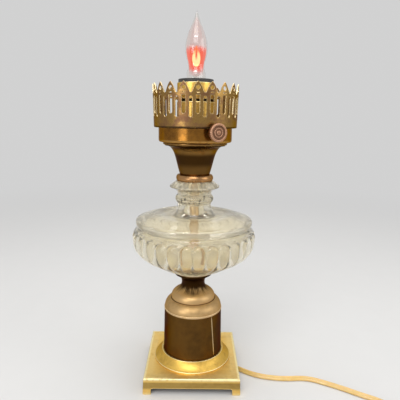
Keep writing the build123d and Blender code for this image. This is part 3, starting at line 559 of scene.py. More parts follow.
@dataclass
class Outline:
    """A turned outline, drawn up its outside and down its inside, with rounded corners."""

    stations: list[Station] = field(default_factory=list)
    rounding: list[float] = field(default_factory=list)
    edge_fade: float = 0.0003
    fade_share: float = 0.07
    round_share: float = 0.42
    passes: int = 60

    def to(self, radius: float, height: float, rounding: float = 0.0, wear: float = 0.0) -> "Outline":
        """Go straight to a corner, which is rounded."""
        self.stations.append(Station(radius, height, wear))
        self.rounding.append(rounding)
        return self

    def along(self, *corners: tuple[float, ...]) -> "Outline":
        """Go straight to corners, each a radius, a height and, where given, its rounding and its wear, which
        below zero is painted shade.
        """
        for corner in corners:
            self.to(*corner)
        return self

    def bulge(self, radius: float, height: float, sagitta: float, steps: int = 14) -> "Outline":
        """Go to a point on an arc that bulges to the right of its way by a sagitta."""
        last = self.stations[-1]
        chord = Vector((radius - last.radius, height - last.height))
        side = Vector((chord.y, -chord.x)).normalized()
        for step in range(1, steps + 1):
            share = step / steps
            rise = 4 * share * (1 - share) * sagitta
            self.to(last.radius + chord.x * share + side.x * rise,
                    last.height + chord.y * share + side.y * rise)
        return self

    def spline(self, ends: Sequence[Spot], leave: float, arrive: float, steps: int = 14) -> "Outline":
        """Go through points on one evenly bending curve, as a spline of the solids does.

        Args:
            ends: The points after the last station.
            leave: Direction at the last station, in degrees from outwards towards up.
            arrive: Direction at the last point.
            steps: Steps between two points.

        Returns:
            This outline.
        """
        knots = [self.stations[-1].spot] + [Vector(end) for end in ends]
        spans = [(after - before).length for before, after in zip(knots, knots[1:])]
        rates = [(after - before) / span for before, after, span in zip(knots, knots[1:], spans)]
        bend = (rates[1] - rates[0]) / (spans[0] + spans[1]) if len(rates) > 1 else Vector((0.0, 0.0))
        tangents = [slope_like(rates[0] - bend * spans[0], leave)] + rates[1:]
        tangents.append(slope_like(rates[0] + bend * (2 * sum(spans) - spans[0]), arrive))
        for _ in range(self.passes):
            for index in range(1, len(knots) - 1):
                before, after = spans[index - 1], spans[index]
                pull = 3 * (after * rates[index - 1] + before * rates[index])
                pull -= after * tangents[index - 1] + before * tangents[index + 1]
                tangents[index] = pull / (2 * (before + after))
        for index, span in enumerate(spans):
            for step in range(1, steps + 1):
                t = step / steps
                spot = ((2 * t ** 3 - 3 * t ** 2 + 1) * knots[index]
                        + (t ** 3 - 2 * t ** 2 + t) * span * tangents[index]
                        + (3 * t ** 2 - 2 * t ** 3) * knots[index + 1]
                        + (t ** 3 - t ** 2) * span * tangents[index + 1])
                self.to(max(spot.x, 0.0), spot.y)
        return self

    def rounded(self, closed: bool = True, steps: int = 5) -> list[Station]:
        """Stations with an arc in place of each rounded corner.

        Args:
            closed: Whether the last station joins the first.
            steps: Steps of each arc.

        Returns:
            The stations in order.
        """
        count = len(self.stations)
        done: list[Station] = []
        for index, (station, reach) in enumerate(zip(self.stations, self.rounding)):
            if reach <= 0 or (not closed and index in (0, count - 1)):
                done.append(station)
                continue
            corner = station.spot
            before, after = self.stations[index - 1], self.stations[(index + 1) % count]
            back, ahead = before.spot - corner, after.spot - corner
            size = min(reach, self.round_share * back.length, self.round_share * ahead.length)
            first, last = corner + back.normalized() * size, corner + ahead.normalized() * size
            guards: list[list[Station]] = []
            for end, way, other in ((first, back, before), (last, ahead, after)):
                fade = min(self.edge_fade, self.fade_share * way.length)
                plain = max(station.wear, other.wear) >= 0.0
                guards.append([Station(*(end + way.normalized() * fade))] if plain else [])
            done += guards[0]
            for step in range(steps + 1):
                t = step / steps
                spot = (1 - t) ** 2 * first + 2 * t * (1 - t) * corner + t ** 2 * last
                done.append(Station(spot.x, spot.y, station.wear or 1.0))
            done += guards[1]
        return done


Relief = Callable[[Station, float], float]


def new_object(name: str, data: bpy.types.ID) -> Piece:
    """Put a mesh or other data into the scene as an object at the origin."""
    piece = bpy.data.objects.new(name, data)
    bpy.context.scene.collection.objects.link(piece)
    return piece


def keep_wear(mesh: Mesh, wear: Sequence[float]) -> None:
    """Keep each vertex's share of wear on the mesh, below zero a share of painted shade."""
    mesh.attributes.new("wear", "FLOAT", "POINT").data.foreach_set("value", list(wear))


@contextmanager
def editing(mesh: Mesh) -> Iterator[bmesh.types.BMesh]:
    """Open a mesh for edits, which are written back at the end."""
    work = bmesh.new()
    work.from_mesh(mesh)
    yield work
    work.to_mesh(mesh)
    work.free()


def weld(mesh: Mesh, gap: float = 2e-7, outwards: bool = True) -> None:
    """Merge vertices that coincide, and turn the faces of a closed shell outwards."""
    with editing(mesh) as work:
        bmesh.ops.remove_doubles(work, verts=work.verts, dist=gap)
        bmesh.ops.dissolve_degenerate(work, edges=work.edges, dist=gap)
        if outwards:
            bmesh.ops.recalc_face_normals(work, faces=work.faces)


def joined(name: str, meshes: Iterable[Mesh]) -> Mesh:
    """Put meshes together in a new one, and remove them."""
    work = bmesh.new()
    for mesh in meshes:
        work.from_mesh(mesh)
        bpy.data.meshes.remove(mesh)
    whole = bpy.data.meshes.new(name)
    work.to_mesh(whole)
    work.free()
    return whole


def grid_mesh(name: str, columns: Sequence[Sequence[Place]], wear: Sequence[Sequence[float]] | None = None,
              loop_columns: bool = True, loop_rows: bool = True) -> Mesh:
    """Join columns of points to a skin of quads.

    Args:
        name: The mesh's name.
        columns: Points of each column, all of one length.
        wear: Share of wear at each point, below zero a share of painted shade, or None for none.
        loop_columns: Whether the last column joins the first.
        loop_rows: Whether each column's last point joins its first.

    Returns:
        The mesh, welded where points coincide.
    """
    rows, count = len(columns[0]), len(columns)
    faces = []
    for column in range(count if loop_columns else count - 1):
        here, beside = column * rows, (column + 1) % count * rows
        for row in range(rows if loop_rows else rows - 1):
            above = (row + 1) % rows
            faces.append((here + row, beside + row, beside + above, here + above))
    mesh = bpy.data.meshes.new(name)
    mesh.from_pydata([spot for column in columns for spot in column], [], faces)
    keep_wear(mesh, [share for column in wear for share in column] if wear else [0.0] * (rows * count))
    weld(mesh, outwards=loop_columns)
    return mesh


def turned_mesh(name: str, stations: Sequence[Station], steps: int, sweep: float = tau, start: float = 0.0,
                relief: Relief | None = None, closed: bool = True) -> Mesh:
    """Turn an outline about the lamp's axis.

    Args:
        name: The mesh's name.
        stations: The outline.
        steps: Steps round the sweep.
        sweep: Angle of the sweep, a full turn or one sector.
        start: Bearing of the first column, in radians from the front towards +X.
        relief: Distance that a station moves outwards at an angle of the sweep.
        closed: Whether the outline's last station joins its first.

    Returns:
        The mesh.
    """
    whole = abs(sweep - tau) < HAIR
    columns = []
    for step in range(steps if whole else steps + 1):
        turn = sweep * step / steps
        bearing = start + turn
        column = []
        for station in stations:
            radius = station.radius + (relief(station, turn) if relief else 0.0)
            column.append((radius * sin(bearing), -radius * cos(bearing), station.height))
        columns.append(column)
    wear = [[station.wear for station in stations]] * len(columns)
    return grid_mesh(name, columns, wear, whole, closed)


def bake(piece: Piece) -> Mesh:
    """Return the evaluated shape of an object as a plain mesh, and remove its modifiers."""
    graph = bpy.context.evaluated_depsgraph_get()
    shape = piece.evaluated_get(graph)
    mesh = bpy.data.meshes.new_from_object(shape, preserve_all_data_layers=True, depsgraph=graph)
    piece.modifiers.clear()
    return mesh


class ShapeTree(Graph):
    """A Geometry Nodes tree that makes real geometry in one finish from its named inputs."""

    def __init__(self, name: str, inputs: dict[str, str]) -> None:
        """Start the tree.

        Args:
            name: The tree's name.
            inputs: Kind of socket of each named input, the shape to start from first.
        """
        super().__init__(bpy.data.node_groups.new(name, "GeometryNodeTree"))
        self.sockets = {key: self.socket(key, kind, "INPUT") for key, kind in inputs.items()}
        self.socket("Shape", "Geometry", "OUTPUT")
        given = self.add("NodeGroupInput")
        self.given = [Field(self, given.outputs[index]) for index in range(len(inputs))]

    def socket(self, name: str, kind: str, direction: str) -> str:
        """Add a socket to the tree's interface and return its identifier."""
        made = self.tree.interface.new_socket(name=name, in_out=direction, socket_type="NodeSocket" + kind)
        return made.identifier

    def close(self, shape: Field, finish: Field, gap: Field | None = None) -> None:
        """End the tree with real geometry in its finish, welded where a gap is given."""
        real = self.get("GeometryNodeRealizeInstances", {0: shape})
        if gap:
            real = self.get("GeometryNodeMergeByDistance", {"Geometry": real, "Distance": gap})
        done = self.get("GeometryNodeSetMaterial", {"Geometry": real, "Material": finish})
        self.add("NodeGroupOutput", {0: done})

    def run(self, name: str, holder: Piece, values: dict[str, object]) -> Mesh:
        """Work the tree on an object, which is then removed.

        Args:
            name: Name of the new mesh.
            holder: Object with the shape to start from.
            values: Value of each named input after the shape.

        Returns:
            The new mesh.
        """
        modifier = holder.modifiers.new(self.tree.name, "NODES")
        modifier.node_group = self.tree
        for key, value in values.items():
            modifier[self.sockets[key]] = value
        mesh = bake(holder)
        bpy.data.objects.remove(holder)
        mesh.name = name
        return mesh


class RingTree(ShapeTree):
    """A tree that repeats one sector round the Z axis and welds the sectors together."""

    def __init__(self) -> None:
        """Build the tree."""
        super().__init__("sector_ring", {
            "Sector": "Geometry", "Count": "Int", "Weld": "Float", "Finish": "Material"})
        sector, count, gap, finish = self.given
        turn = self.get("GeometryNodeInputIndex") * tau / count
        posts = self.get("GeometryNodeMeshLine", {"Count": count, "Offset": (0.0, 0.0, 0.0)})
        copies = self.get("GeometryNodeInstanceOnPoints", {
            "Points": posts, "Instance": sector, "Rotation": self.vector(0.0, 0.0, turn)})
        self.close(copies, finish, gap)

    def repeat(self, name: str, sector: Mesh, count: int, finish: Material,
               gap: float = HAIR) -> Mesh:
        """Repeat a sector to a whole ring.

        Args:
            name: Name of the new mesh.
            sector: The mesh of one sector.
            count: How many sectors make the ring.
            finish: Material of the ring.
            gap: Distance below which vertices are merged.

        Returns:
            The ring's mesh.
        """
        holder = new_object(name + "_sector", sector)
        return self.run(name, holder, {"Count": count, "Weld": gap, "Finish": finish})


class CordTree(ShapeTree):
    """A tree that sweeps a flat two-core section along a cord's curve."""

    section_points: int = 28
    pinch_power: float = 4.0
    sizes: tuple[str, ...] = (
        "Width", "Thickness", "Waist", "Run Tilt", "Coil Start", "Coil End", "Twist Run")

    def __init__(self) -> None:
        """Build the tree."""
        super().__init__("flat_cord", {
            "Route": "Geometry", **dict.fromkeys(self.sizes, "Float"), "Finish": "Material"})
        route, width, thickness, waist, lean, start, end, run, finish = self.given
        line = self.get("GeometryNodeResampleCurve", {"Curve": route}, mode="EVALUATED")
        line = self.get("GeometryNodeSetCurveNormal", {"Curve": line}, mode="Z_UP")
        along = self.get("GeometryNodeSplineParameter", output="Length")
        wound = ((along - start) / run + 1.0).ramp(0.0, 1.0)
        tilt = (lean + wound * (pi / 2 - lean)) * (1.0 - ((along - end) / run).ramp(0.0, 1.0))
        tilted = self.get("GeometryNodeSetCurveTilt", {"Curve": line, "Tilt": tilt})
        circle = self.get("GeometryNodeCurvePrimitiveCircle", {
            "Resolution": self.section_points, "Radius": 1.0}, mode="RADIUS")
        across, up, _ = self.split(self.get("GeometryNodeInputPosition"))
        pinch = 1.0 - waist * (1.0 - across * across) ** self.pinch_power
        place = self.vector(across * width / 2, up * thickness * pinch / 2, 0.0)
        section = self.get("GeometryNodeSetPosition", {"Geometry": circle, "Position": place})
        swept = self.get("GeometryNodeCurveToMesh", {
            "Curve": tilted, "Profile Curve": section, "Fill Caps": True})
        self.close(swept, finish)


def arc(centre: Spot, radius: float, start: float, end: float, steps: int) -> list[Spot]:
    """Points on an arc between two angles in degrees."""
    angles = [radians(start + (end - start) * step / steps) for step in range(steps + 1)]
    return [(centre[0] + radius * cos(angle), centre[1] + radius * sin(angle)) for angle in angles]


def plate_mesh(name: str, loops: Sequence[Sequence[Spot]], thickness: float, edge: float) -> Mesh:
    """Cut a flat plate with rounded edges from its outline and its holes.

    Args:
        name: The mesh's name.
        loops: The outline, then the holes.
        thickness: The plate's thickness, along Z about its middle plane.
        edge: Rounding of its edges.

    Returns:
        The mesh, in the XY plane.
    """
    sheet = bpy.data.curves.new(name, "CURVE")
    sheet.dimensions = "2D"
    sheet.fill_mode = "BOTH"
    sheet.extrude = thickness / 2 - edge
    sheet.bevel_depth = edge
    sheet.bevel_resolution = 1
    sheet.offset = -edge
    for loop in loops:
        spline = sheet.splines.new("POLY")
        spline.points.add(len(loop) - 1)
        for point, spot in zip(spline.points, loop):
            point.co = (*spot, 0.0, 1.0)
        spline.use_cyclic_u = True
    holder = new_object(name + "_curve", sheet)
    bpy.context.view_layer.update()
    mesh = bake(holder)
    bpy.data.objects.remove(holder)
    weld(mesh)
    return mesh


@dataclass(frozen=True)
class Span:
    """Radius and levels of a round node about the lamp's axis."""

    radius: float
    low: float
    high: float

    @classmethod
    def of(cls, node: str) -> "Span":
        """Read a node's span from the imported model."""
        low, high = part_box(node)
        return cls((high.x - low.x) / 2, low.z, high.z)


@dataclass(frozen=True)
class SoftLight:
    """A soft light that faces the lamp's middle."""

    name: str
    place: Place
    width: float
    height: float
    power: float
    target: Place = (0.0, 0.0, 0.2)

    def add(self) -> None:
        """Put the light into the scene."""
        data = bpy.data.lights.new(self.name, "AREA")
        data.shape = "RECTANGLE"
        data.size = self.width
        data.size_y = self.height
        data.energy = self.power
        light = new_object(self.name, data)
        light.location = self.place
        light.rotation_euler = (Vector(self.place) - Vector(self.target)).to_track_quat("Z", "Y").to_euler()


@dataclass
class Studio:
    """The camera at the photograph's angle, the pale floor and the soft light."""

    position: Place = (0.0020, -0.4450, 0.2842)
    pitch: float = 10.77
    heading: float = -0.53
    roll: float = 0.94
    focal_pixels: float = 417.6
    image_pixels: float = 400.0
    clip: Spot = (0.01, 100.0)
    floor_radius: float = 12.0
    floor_fade: Spot = (0.3, 1.5)
    floor_colour: Colour = (0.66, 0.655, 0.645)
    floor_grain: float = 0.03
    floor_shade: float = 0.97
    sky_colour: Colour = (0.80, 0.80, 0.80)
    sky_strength: float = 0.66
    sky_seen: float = 0.80
    lights: tuple[SoftLight, ...] = (
        SoftLight("key", (-0.2, -1.2, 1.5), 1.4, 1.4, 13.5),
        SoftLight("top", (0.1, 0.25, 1.7), 1.6, 1.6, 13.0),
        SoftLight("side", (1.3, -0.5, 0.7), 0.9, 0.9, 4.0),
        SoftLight("window", (-0.74, -0.95, 0.36), 0.5, 0.5, 2.6),
        SoftLight("strip", (-0.15, -0.95, 1.25), 0.8, 0.08, 2.6),
    )

    def camera(self) -> None:
        """Add the camera and make it the scene's."""
        turn, tip, lean = radians(self.heading), radians(self.pitch), radians(self.roll)
        ahead = Vector((-sin(turn) * cos(tip), cos(turn) * cos(tip), -sin(tip)))
        right = ahead.cross(UP).normalized()
        up = right.cross(ahead)
        leaned_right = right * cos(lean) + up * sin(lean)
        leaned_up = up * cos(lean) - right * sin(lean)
        data = bpy.data.cameras.new("camera")
        data.lens = data.sensor_width * self.focal_pixels / self.image_pixels
        data.clip_start, data.clip_end = self.clip
        camera = new_object("camera", data)
        axes = Matrix((leaned_right, leaned_up, -ahead)).transposed().to_4x4()
        camera.matrix_world = Matrix.Translation(self.position) @ axes
        bpy.context.scene.camera = camera

    def floor(self) -> None:
        """Add a round pale floor that fades into the sky far from the lamp."""
        mesh = bpy.data.meshes.new("floor")
        with editing(mesh) as work:
            bmesh.ops.create_circle(work, cap_ends=True, segments=96, radius=self.floor_radius)
        surface = Surface("floor_paper")
        darker = tuple(channel * self.floor_shade for channel in self.floor_colour)
        paper = surface.principled({
            "Base Color": surface.mix(surface.noise(self.floor_grain), self.floor_colour, darker),
            "Roughness": 0.9, "Specular IOR Level": 0.1})
        haze = surface.get("ShaderNodeEmission", {"Color": self.sky_colour, "Strength": self.sky_seen})
        faded = surface.cover(surface.radius.ramp(*self.floor_fade), paper, haze)
        mesh.materials.append(surface.close(faded))
        new_object("floor", mesh)

    def sky(self) -> None:
        """Light the scene evenly, with a paler sky for the rays that show it."""
        world = bpy.data.worlds.new("sky")
        bpy.context.scene.world = world
        world.use_nodes = True
        world.node_tree.nodes.clear()
        graph = Graph(world.node_tree)
        path = graph.add("ShaderNodeLightPath")
        camera, glossy, through = (Field(graph, path.outputs[name]) for name in (
            "Is Camera Ray", "Is Glossy Ray", "Is Transmission Ray"))
        seen = camera.most(glossy).most(through)
        strength = self.sky_strength + seen * (self.sky_seen - self.sky_strength)
        shade = graph.get("ShaderNodeBackground", {"Color": self.sky_colour, "Strength": strength})
        graph.add("ShaderNodeOutputWorld", {"Surface": shade})

    def build(self) -> None:
        """Set up the whole studio."""
        bpy.context.scene.view_settings.view_transform = "Standard"
        self.camera()
        self.floor()
        self.sky()
        for light in self.lights:
            light.add()
        LOG.info("studio ready")


@dataclass
class Finishes:
    """Every material of the lamp."""

    made: dict[str, Material] = field(default_factory=dict)

    def build(self) -> "Finishes":
        """Make each finish once."""
        makers = [
            Metal("polished_brass", (0.90, 0.61, 0.18), (0.66, 0.42, 0.11), (1.0, 0.88, 0.50), cover=0.36,
                  patch=0.04, smooth=0.50, dull=0.58, marks=Marks.BRUSHED, mark_size=0.0009, wear=1.0),
            Metal("ring_brass", (0.77, 0.50, 0.110), (0.52, 0.32, 0.070), (1.0, 0.88, 0.50), cover=0.3,
                  smooth=0.42, dull=0.50, wear=1.0),
            Metal("bronze_patina", (0.138, 0.068, 0.016), (0.075, 0.037, 0.010), (0.5, 0.32, 0.15), cover=0.5,
                  smooth=0.34, dull=0.46, patch=0.05, glancing=(0.34, 0.24, 0.14)),
            Metal("satin_brass", (0.62, 0.41, 0.190), (0.43, 0.275, 0.120), (1.0, 0.78, 0.48), cover=0.38,
                  smooth=0.40, dull=0.52, patch=0.04, wear=1.0),
            DrippedMetal("waist_bronze", (0.66, 0.43, 0.195), (0.024, 0.009, 0.001), (0.30, 0.18, 0.08),
                         smooth=0.42, dull=0.38, level=0.1005, drip=0.006),
            Metal("collar_copper", (0.45, 0.245, 0.105), (0.27, 0.135, 0.055), (0.8, 0.56, 0.36), cover=0.4,
                  smooth=0.24, dull=0.38),
            # painted highlight band below the bell's rim, and lighter towards its foot
            HighlightBandMetal("bell_bronze", (0.25, 0.130, 0.035), (0.042, 0.018, 0.003), (0.28, 0.16, 0.05),
                        smooth=0.22, dull=0.26, patch=0.02, highlight_level=0.2525, highlight_half=0.0050,
                        foot_level=0.2301),
            Metal("seam_bronze", (0.17, 0.085, 0.024), (0.08, 0.040, 0.012), (0.42, 0.25, 0.09), cover=0.45,
                  smooth=0.22, dull=0.36, wear=0.35),
            Metal("drum_brass", (0.34, 0.150, 0.026), (0.15, 0.064, 0.013), (0.6, 0.36, 0.12), cover=0.42,
                  smooth=0.16, dull=0.30, patch=0.03, wear=0.4),
            Metal("gallery_brass", (0.35, 0.210, 0.060), (0.19, 0.095, 0.048), (0.95, 0.78, 0.45), cover=0.42,
                  smooth=0.25, dull=0.42, patch=0.016, wear=1.0),
            # the knob's painted shade in its dish is a darker tarnish colour
            Metal("knob_copper", (0.45, 0.230, 0.135), (0.27, 0.135, 0.080), (0.62, 0.37, 0.24), cover=0.4,
                  smooth=0.36, dull=0.5, marks=Marks.CAST, mark_size=0.0012, painted_shade=(0.15, 0.076, 0.045)),
            # the shell's near-black painted shade darkens its groove
            Metal("shell_brass", (0.82, 0.52, 0.125), (0.66, 0.40, 0.09), (1.0, 0.9, 0.5), cover=0.25,
                  smooth=0.3, dull=0.42, painted_shade=(0.012, 0.010, 0.008)),
            Metal("zinc_steel", (0.56, 0.55, 0.52), (0.36, 0.34, 0.30), (0.8, 0.8, 0.78), cover=0.35,
                  smooth=0.3, dull=0.45, marks=Marks.CAST, glancing=(0.9, 0.9, 0.9)),
            Metal("pipe_brass", (0.76, 0.55, 0.30), (0.56, 0.40, 0.20), (0.9, 0.75, 0.45), cover=0.35,
                  smooth=0.38, dull=0.5),
            Metal("nickel", (0.70, 0.67, 0.62), (0.46, 0.43, 0.38), (0.92, 0.9, 0.88), cover=0.3,
                  smooth=0.2, dull=0.36, glancing=(0.9, 0.9, 0.9)),
            Metal("seam_solder", (0.38, 0.265, 0.14), (0.24, 0.16, 0.085), (0.6, 0.45, 0.26), cover=0.4,
                  smooth=0.34, dull=0.5, marks=Marks.CAST),
            PressedGlass("font_glass", (0.96, 0.90, 0.73), 0.007, 0.00016, clear=0.92, foot=0.1190),
            Glass("bulb_glass", (0.96, 0.935, 0.91), 0.01, 0.00002),
            Moulded("black_insulator", (0.03, 0.028, 0.026), (0.05, 0.045, 0.04), 0.5),
            Moulded("plaster", (0.78, 0.74, 0.66), (0.6, 0.55, 0.47), 0.85),
            Moulded("felt", (0.80, 0.73, 0.54), (0.66, 0.59, 0.42), 0.95, grain=0.0005),
            Moulded("cord_vinyl", (0.74, 0.51, 0.18), (0.64, 0.42, 0.13), 0.32, grain=0.004, coat=0.3,
                    glow_through=0.25),
            Moulded("tie_paper", (0.86, 0.84, 0.78), (0.74, 0.71, 0.64), 0.6),
            Glow("flame_metal", (1.0, 0.80, 0.36), (0.11, 0.028, 0.004), 0.3445, 0.0110, 15.0, slit=0.0014),
            Glow("neon_glow", (1.0, 0.13, 0.06), (1.0, 0.10, 0.06), 0.3455, 0.0142, 1.0, alpha=0.74),
        ]
        self.made = {maker.name: maker.build() for maker in makers}
        LOG.info("%d finishes", len(self.made))
        return self

    def __getitem__(self, name: str) -> Material:
        """One finish by its name."""
        return self.made[name]

    def dress_nodes(self, choice: dict[str, Sequence[str]]) -> None:
        """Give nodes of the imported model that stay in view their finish."""
        for name, nodes in choice.items():
            for node in nodes:
                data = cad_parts[node].data
                data.materials.clear()
                data.materials.append(self.made[name])


@dataclass(frozen=True)
class Dress:
    """Finish of a piece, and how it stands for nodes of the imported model."""

    finish: str
    slot: str
    nodes: tuple[str, ...]
    body: str = "lamp"
    crease: float = 32.0


@dataclass
class Assembly:
    """A group of pieces that take their materials from one set of finishes."""

    finishes: Finishes

    def put(self, name: str, mesh: Mesh, dress: Dress) -> Piece:
        """Finish a mesh as a piece, tie it to its body, hide the nodes it stands for, and report it.

        Args:
            name: The piece's name.
            mesh: Its mesh.
            dress: Its finish, its crease angle in degrees and what it stands for.

        Returns:
            The piece.
        """
        mesh.shade_smooth()
        mesh.set_sharp_from_angle(angle=radians(dress.crease))
        mesh.materials.clear()
        mesh.materials.append(self.finishes[dress.finish])
        piece = new_object(name, mesh)
        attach(piece, dress.body)
        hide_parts(*dress.nodes)
        LOG.info("%s: %d faces, for %s", name, len(mesh.polygons), ", ".join(dress.nodes) or "no node")
        return piece

    def turn(self, name: str, outline: Outline, dress: Dress, steps: int = 144,
             relief: Relief | None = None) -> Piece:
        """Turn a closed outline to a finished piece.

        Args:
            name: The piece's name.
            outline: Its outline.
            dress: Its finish and what it stands for.
            steps: Steps round the turn.
            relief: Distance that a station moves outwards at an angle.

        Returns:
            The piece.
        """
        return self.put(name, turned_mesh(name, outline.rounded(), steps, relief=relief), dress)


@dataclass(frozen=True)
class PlinthColumn:
    """One column of points on a side of the square plinth, at a place along it or round its corner."""

    half: float
    corner: float
    side: int
    place: float
    angle: float
    level: float

    def spot(self, inset: float, height: float) -> Place:
        """Point at an inset from the apron's face at the foot."""
        left = max(self.corner - inset, 0.0)
        flat = self.half - inset - left
        swing = radians(self.angle)
        x = max(min(self.place, flat), -flat) + left * sin(swing)
        turn = Matrix.Rotation(self.side * pi / 2, 3, "Z")
        return tuple(turn @ Vector((x, -flat - left * cos(swing), height)))

    def disc(self, radius: float, height: float) -> Place:
        """Point on a circle about the axis, in this column's direction."""
        way = Vector(self.spot(0.0, 0.0)).to_2d().normalized() * radius
        return (way.x, way.y, height)


@dataclass
class Base(Assembly):
    """Plinth, seat ring, pillar, shoulder cap and waist spool."""

    plinth_draft: float = 2.5
    plinth_sheet: float = 0.0016
    plinth_corner: float = 0.0014
    plinth_edge: float = 0.0009
    apron_levels: Place = (0.0078, 0.0105, 0.0135)
    apron_clear: float = 0.001
    # painted shade on the apron's face, below zero
    apron_shade: float = -0.48
    lip_wear: float = 0.6
    strip_insets: Spot = (0.003, 0.008)
    strip_wear: float = 0.35
    top_rings: Place = (0.0425, 0.03, 0.015)
    under_rings: Spot = (0.02, 0.04)
    # painted shade on the inner faces, below zero
    inner_shade: float = -0.6
    inner_lip_wear: float = 0.3
    foot_width: float = 0.0087
    foot_height: float = 0.0070
    foot_round: float = 0.0022
    foot_step: float = 0.0001
    pipe_hole: float = 0.0053
    ring_edge: float = 0.0015
    ring_round: float = 0.0006
    ring_lip: float = 0.0019
    ring_lip_drop: float = 0.0006
    ring_lip_round: float = 0.0005
    ring_cove: float = 0.0011
    pillar_fit: float = 0.0001
    pillar_waist: float = 0.0005
    pillar_head: float = 0.0320
    pillar_sheet: float = 0.0012
    seam_bearing: float = 43.0
    seam_lean: float = 5.0
    seam_width: float = 0.0015
    seam_proud: float = 0.00035
    seam_sunk: float = 0.3
    seam_end_gap: float = 0.0012
    seam_taper: Spot = (8.0, 0.35)
    seam_steps: int = 30
    seam_corners: int = 8
    cap_rim: float = 0.0016
    cap_round: float = 0.0007
    cap_step: float = 0.0006
    cap_top_radius: float = 0.0252
    cap_sheet: float = 0.0014
    cap_bulge: float = 0.0019
    spool_land: float = 0.0009
    spool_shoulder: Spot = (0.0203, 0.0087)
    spool_slope: float = 145.0
    spool_waist: Spot = (0.0128, 0.0180)
    spool_cup: Spot = (0.0206, 0.0280)
    cup_slope: float = 25.0
    cup_rim_width: float = 0.0010
    cup_drop: float = 0.0007

    def columns(self, half: float) -> list[PlinthColumn]:
        """Columns of the plinth, side by side, each side from its left corner to its right one.

        Args:
            half: Half of the plinth's side at its foot.

        Returns:
            The columns.
        """
        inner = half - self.foot_width
        middle = (inner - self.foot_round, self.foot_height - self.foot_round)
        right = [(place, 0.0, level) for place, level in reversed(arc(middle, self.foot_round, 0, 90, 6))]
        right += [(inner + self.foot_step, 0.0, 0.0), (half - self.foot_width / 2, 0.0, 0.0)]
        right += [(half - self.plinth_corner, 90.0 * step / 6, 0.0) for step in range(4)]
        plain = [(inner * share, 0.0, self.foot_height) for share in (-0.6, -0.3, 0.0, 0.3, 0.6)]
        left = [(-place, -angle, level) for place, angle, level in reversed(right)]
        return [PlinthColumn(half, self.plinth_corner, side, *spot)
                for side in range(4) for spot in left + plain + right]

    def plinth(self) -> Piece:
        """Build the square pressing with its apron and feet, with painted shade on the apron's face and
        inside.
        """
        low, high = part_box("plinth")
        top, under = high.z, high.z - self.plinth_sheet
        lean = tan(radians(self.plinth_draft))
        inner = self.plinth_sheet + lean * under
        edge = arc((self.plinth_edge, top - self.plinth_edge), self.plinth_edge, 180, 90, 6)
        lowest, middle, highest = self.apron_levels
        columns, wear = [], []
        for column in self.columns((high.x - low.x) / 2):
            spot, disc, level = column.spot, column.disc, column.level
            rows = [(spot(lean * level + EDGE, level), self.lip_wear),
                    (spot(lean * (level + EDGE), level + EDGE), self.lip_wear)]
            # painted shade: the apron's face is darkened
            rows += [(spot(lean * height, height), self.apron_shade)
                     for height in (max(level + self.apron_clear, lowest), middle, highest)]
            rows += [(spot(lean * z + x, z), 1.0) for x, z in edge]
            rows += [(spot(lean * top + inset, top), self.strip_wear) for inset in self.strip_insets]
            rows += [(disc(radius, top), 0.0) for radius in (*self.top_rings, self.pipe_hole)]
            # painted shade: the underside and the inner faces are darkened
            rows += [(disc(radius, under), -1.0) for radius in (self.pipe_hole, *self.under_rings)]
            rows += [(spot(inner, under), -1.0), (spot(inner, middle), -1.0),
                     (spot(self.plinth_sheet, level + EDGE), self.inner_shade),
                     (spot(self.plinth_sheet - EDGE, level), self.inner_lip_wear)]
            columns.append([row[0] for row in rows])
            wear.append([row[1] for row in rows])
        dress = Dress("polished_brass", "polished_brass", ("plinth",), crease=30.0)
        return self.put("plinth_shell", grid_mesh("plinth_shell", columns, wear), dress)

    def seat_ring(self) -> Piece:
        """Turn the coved ring that the pillar stands in."""
        span = Span.of("seat_ring")
        bore = Span.of("pillar_tube").radius + self.pillar_fit
        lip = bore + self.ring_lip
        outline = Outline().along(
            (bore, span.low), (span.radius, span.low, EDGE),
            (span.radius, span.low + self.ring_edge, self.ring_round))
        outline.bulge(lip, span.high - self.ring_lip_drop, -self.ring_cove)
        outline.along((lip - FINE_EDGE, span.high, self.ring_lip_round), (bore, span.high, SOFT_EDGE))
        return self.turn("seat_ring_turned", outline, Dress("ring_brass", "polished_brass", ("seat_ring",)))

    def pillar(self) -> Piece:
        """Turn the rolled tube."""
        span = Span.of("pillar_tube")
        outline = Outline().along(
            (span.radius - self.pillar_sheet, span.low), (span.radius, span.low, EDGE),
            (span.radius - self.pillar_waist, (span.low + span.high) / 2),
            (self.pillar_head, span.high, SOFT_EDGE), (self.pillar_head - self.pillar_sheet, span.high))
        return self.turn("pillar_rolled", outline, Dress("bronze_patina", "bronze_patina", ("pillar_tube",)))

    def seam(self) -> Piece:
        """Lay the solder bead of the leaning lap seam."""
        pillar = Span.of("pillar_tube")
        low, high = Span.of("seat_ring").high + self.seam_end_gap, pillar.high - self.seam_end_gap
        growth, least = self.seam_taper
        angles = [pi * corner / self.seam_corners for corner in range(self.seam_corners + 1)]
        columns = []
        for step in range(self.seam_steps + 1):
            share = step / self.seam_steps
            level = low + (high - low) * share
            fall = (level - pillar.low) / (pillar.high - pillar.low)
            face = pillar.radius + (self.pillar_head - pillar.radius) * fall
            slip = (0.5 - share) * (high - low) * tan(radians(self.seam_lean))
            taper = min(1.0, growth * min(share, 1 - share) + least)
            column = []
            for angle in angles:
                across = slip - cos(angle) * self.seam_width / 2 * taper
                out = face + self.seam_proud * (sin(angle) * (1 + self.seam_sunk) * taper - self.seam_sunk)
                bearing = radians(self.seam_bearing) + across / face
                column.append((out * sin(bearing), -out * cos(bearing), level))
            columns.append(column)
        wear = [[sin(angle) for angle in angles]] * len(columns)
        mesh = grid_mesh("pillar_solder", columns, wear, loop_columns=False)
        weld(mesh)
        dress = Dress("seam_solder", "seam_solder", ("pillar_seam",), crease=50.0)
        return self.put("pillar_solder", mesh, dress)

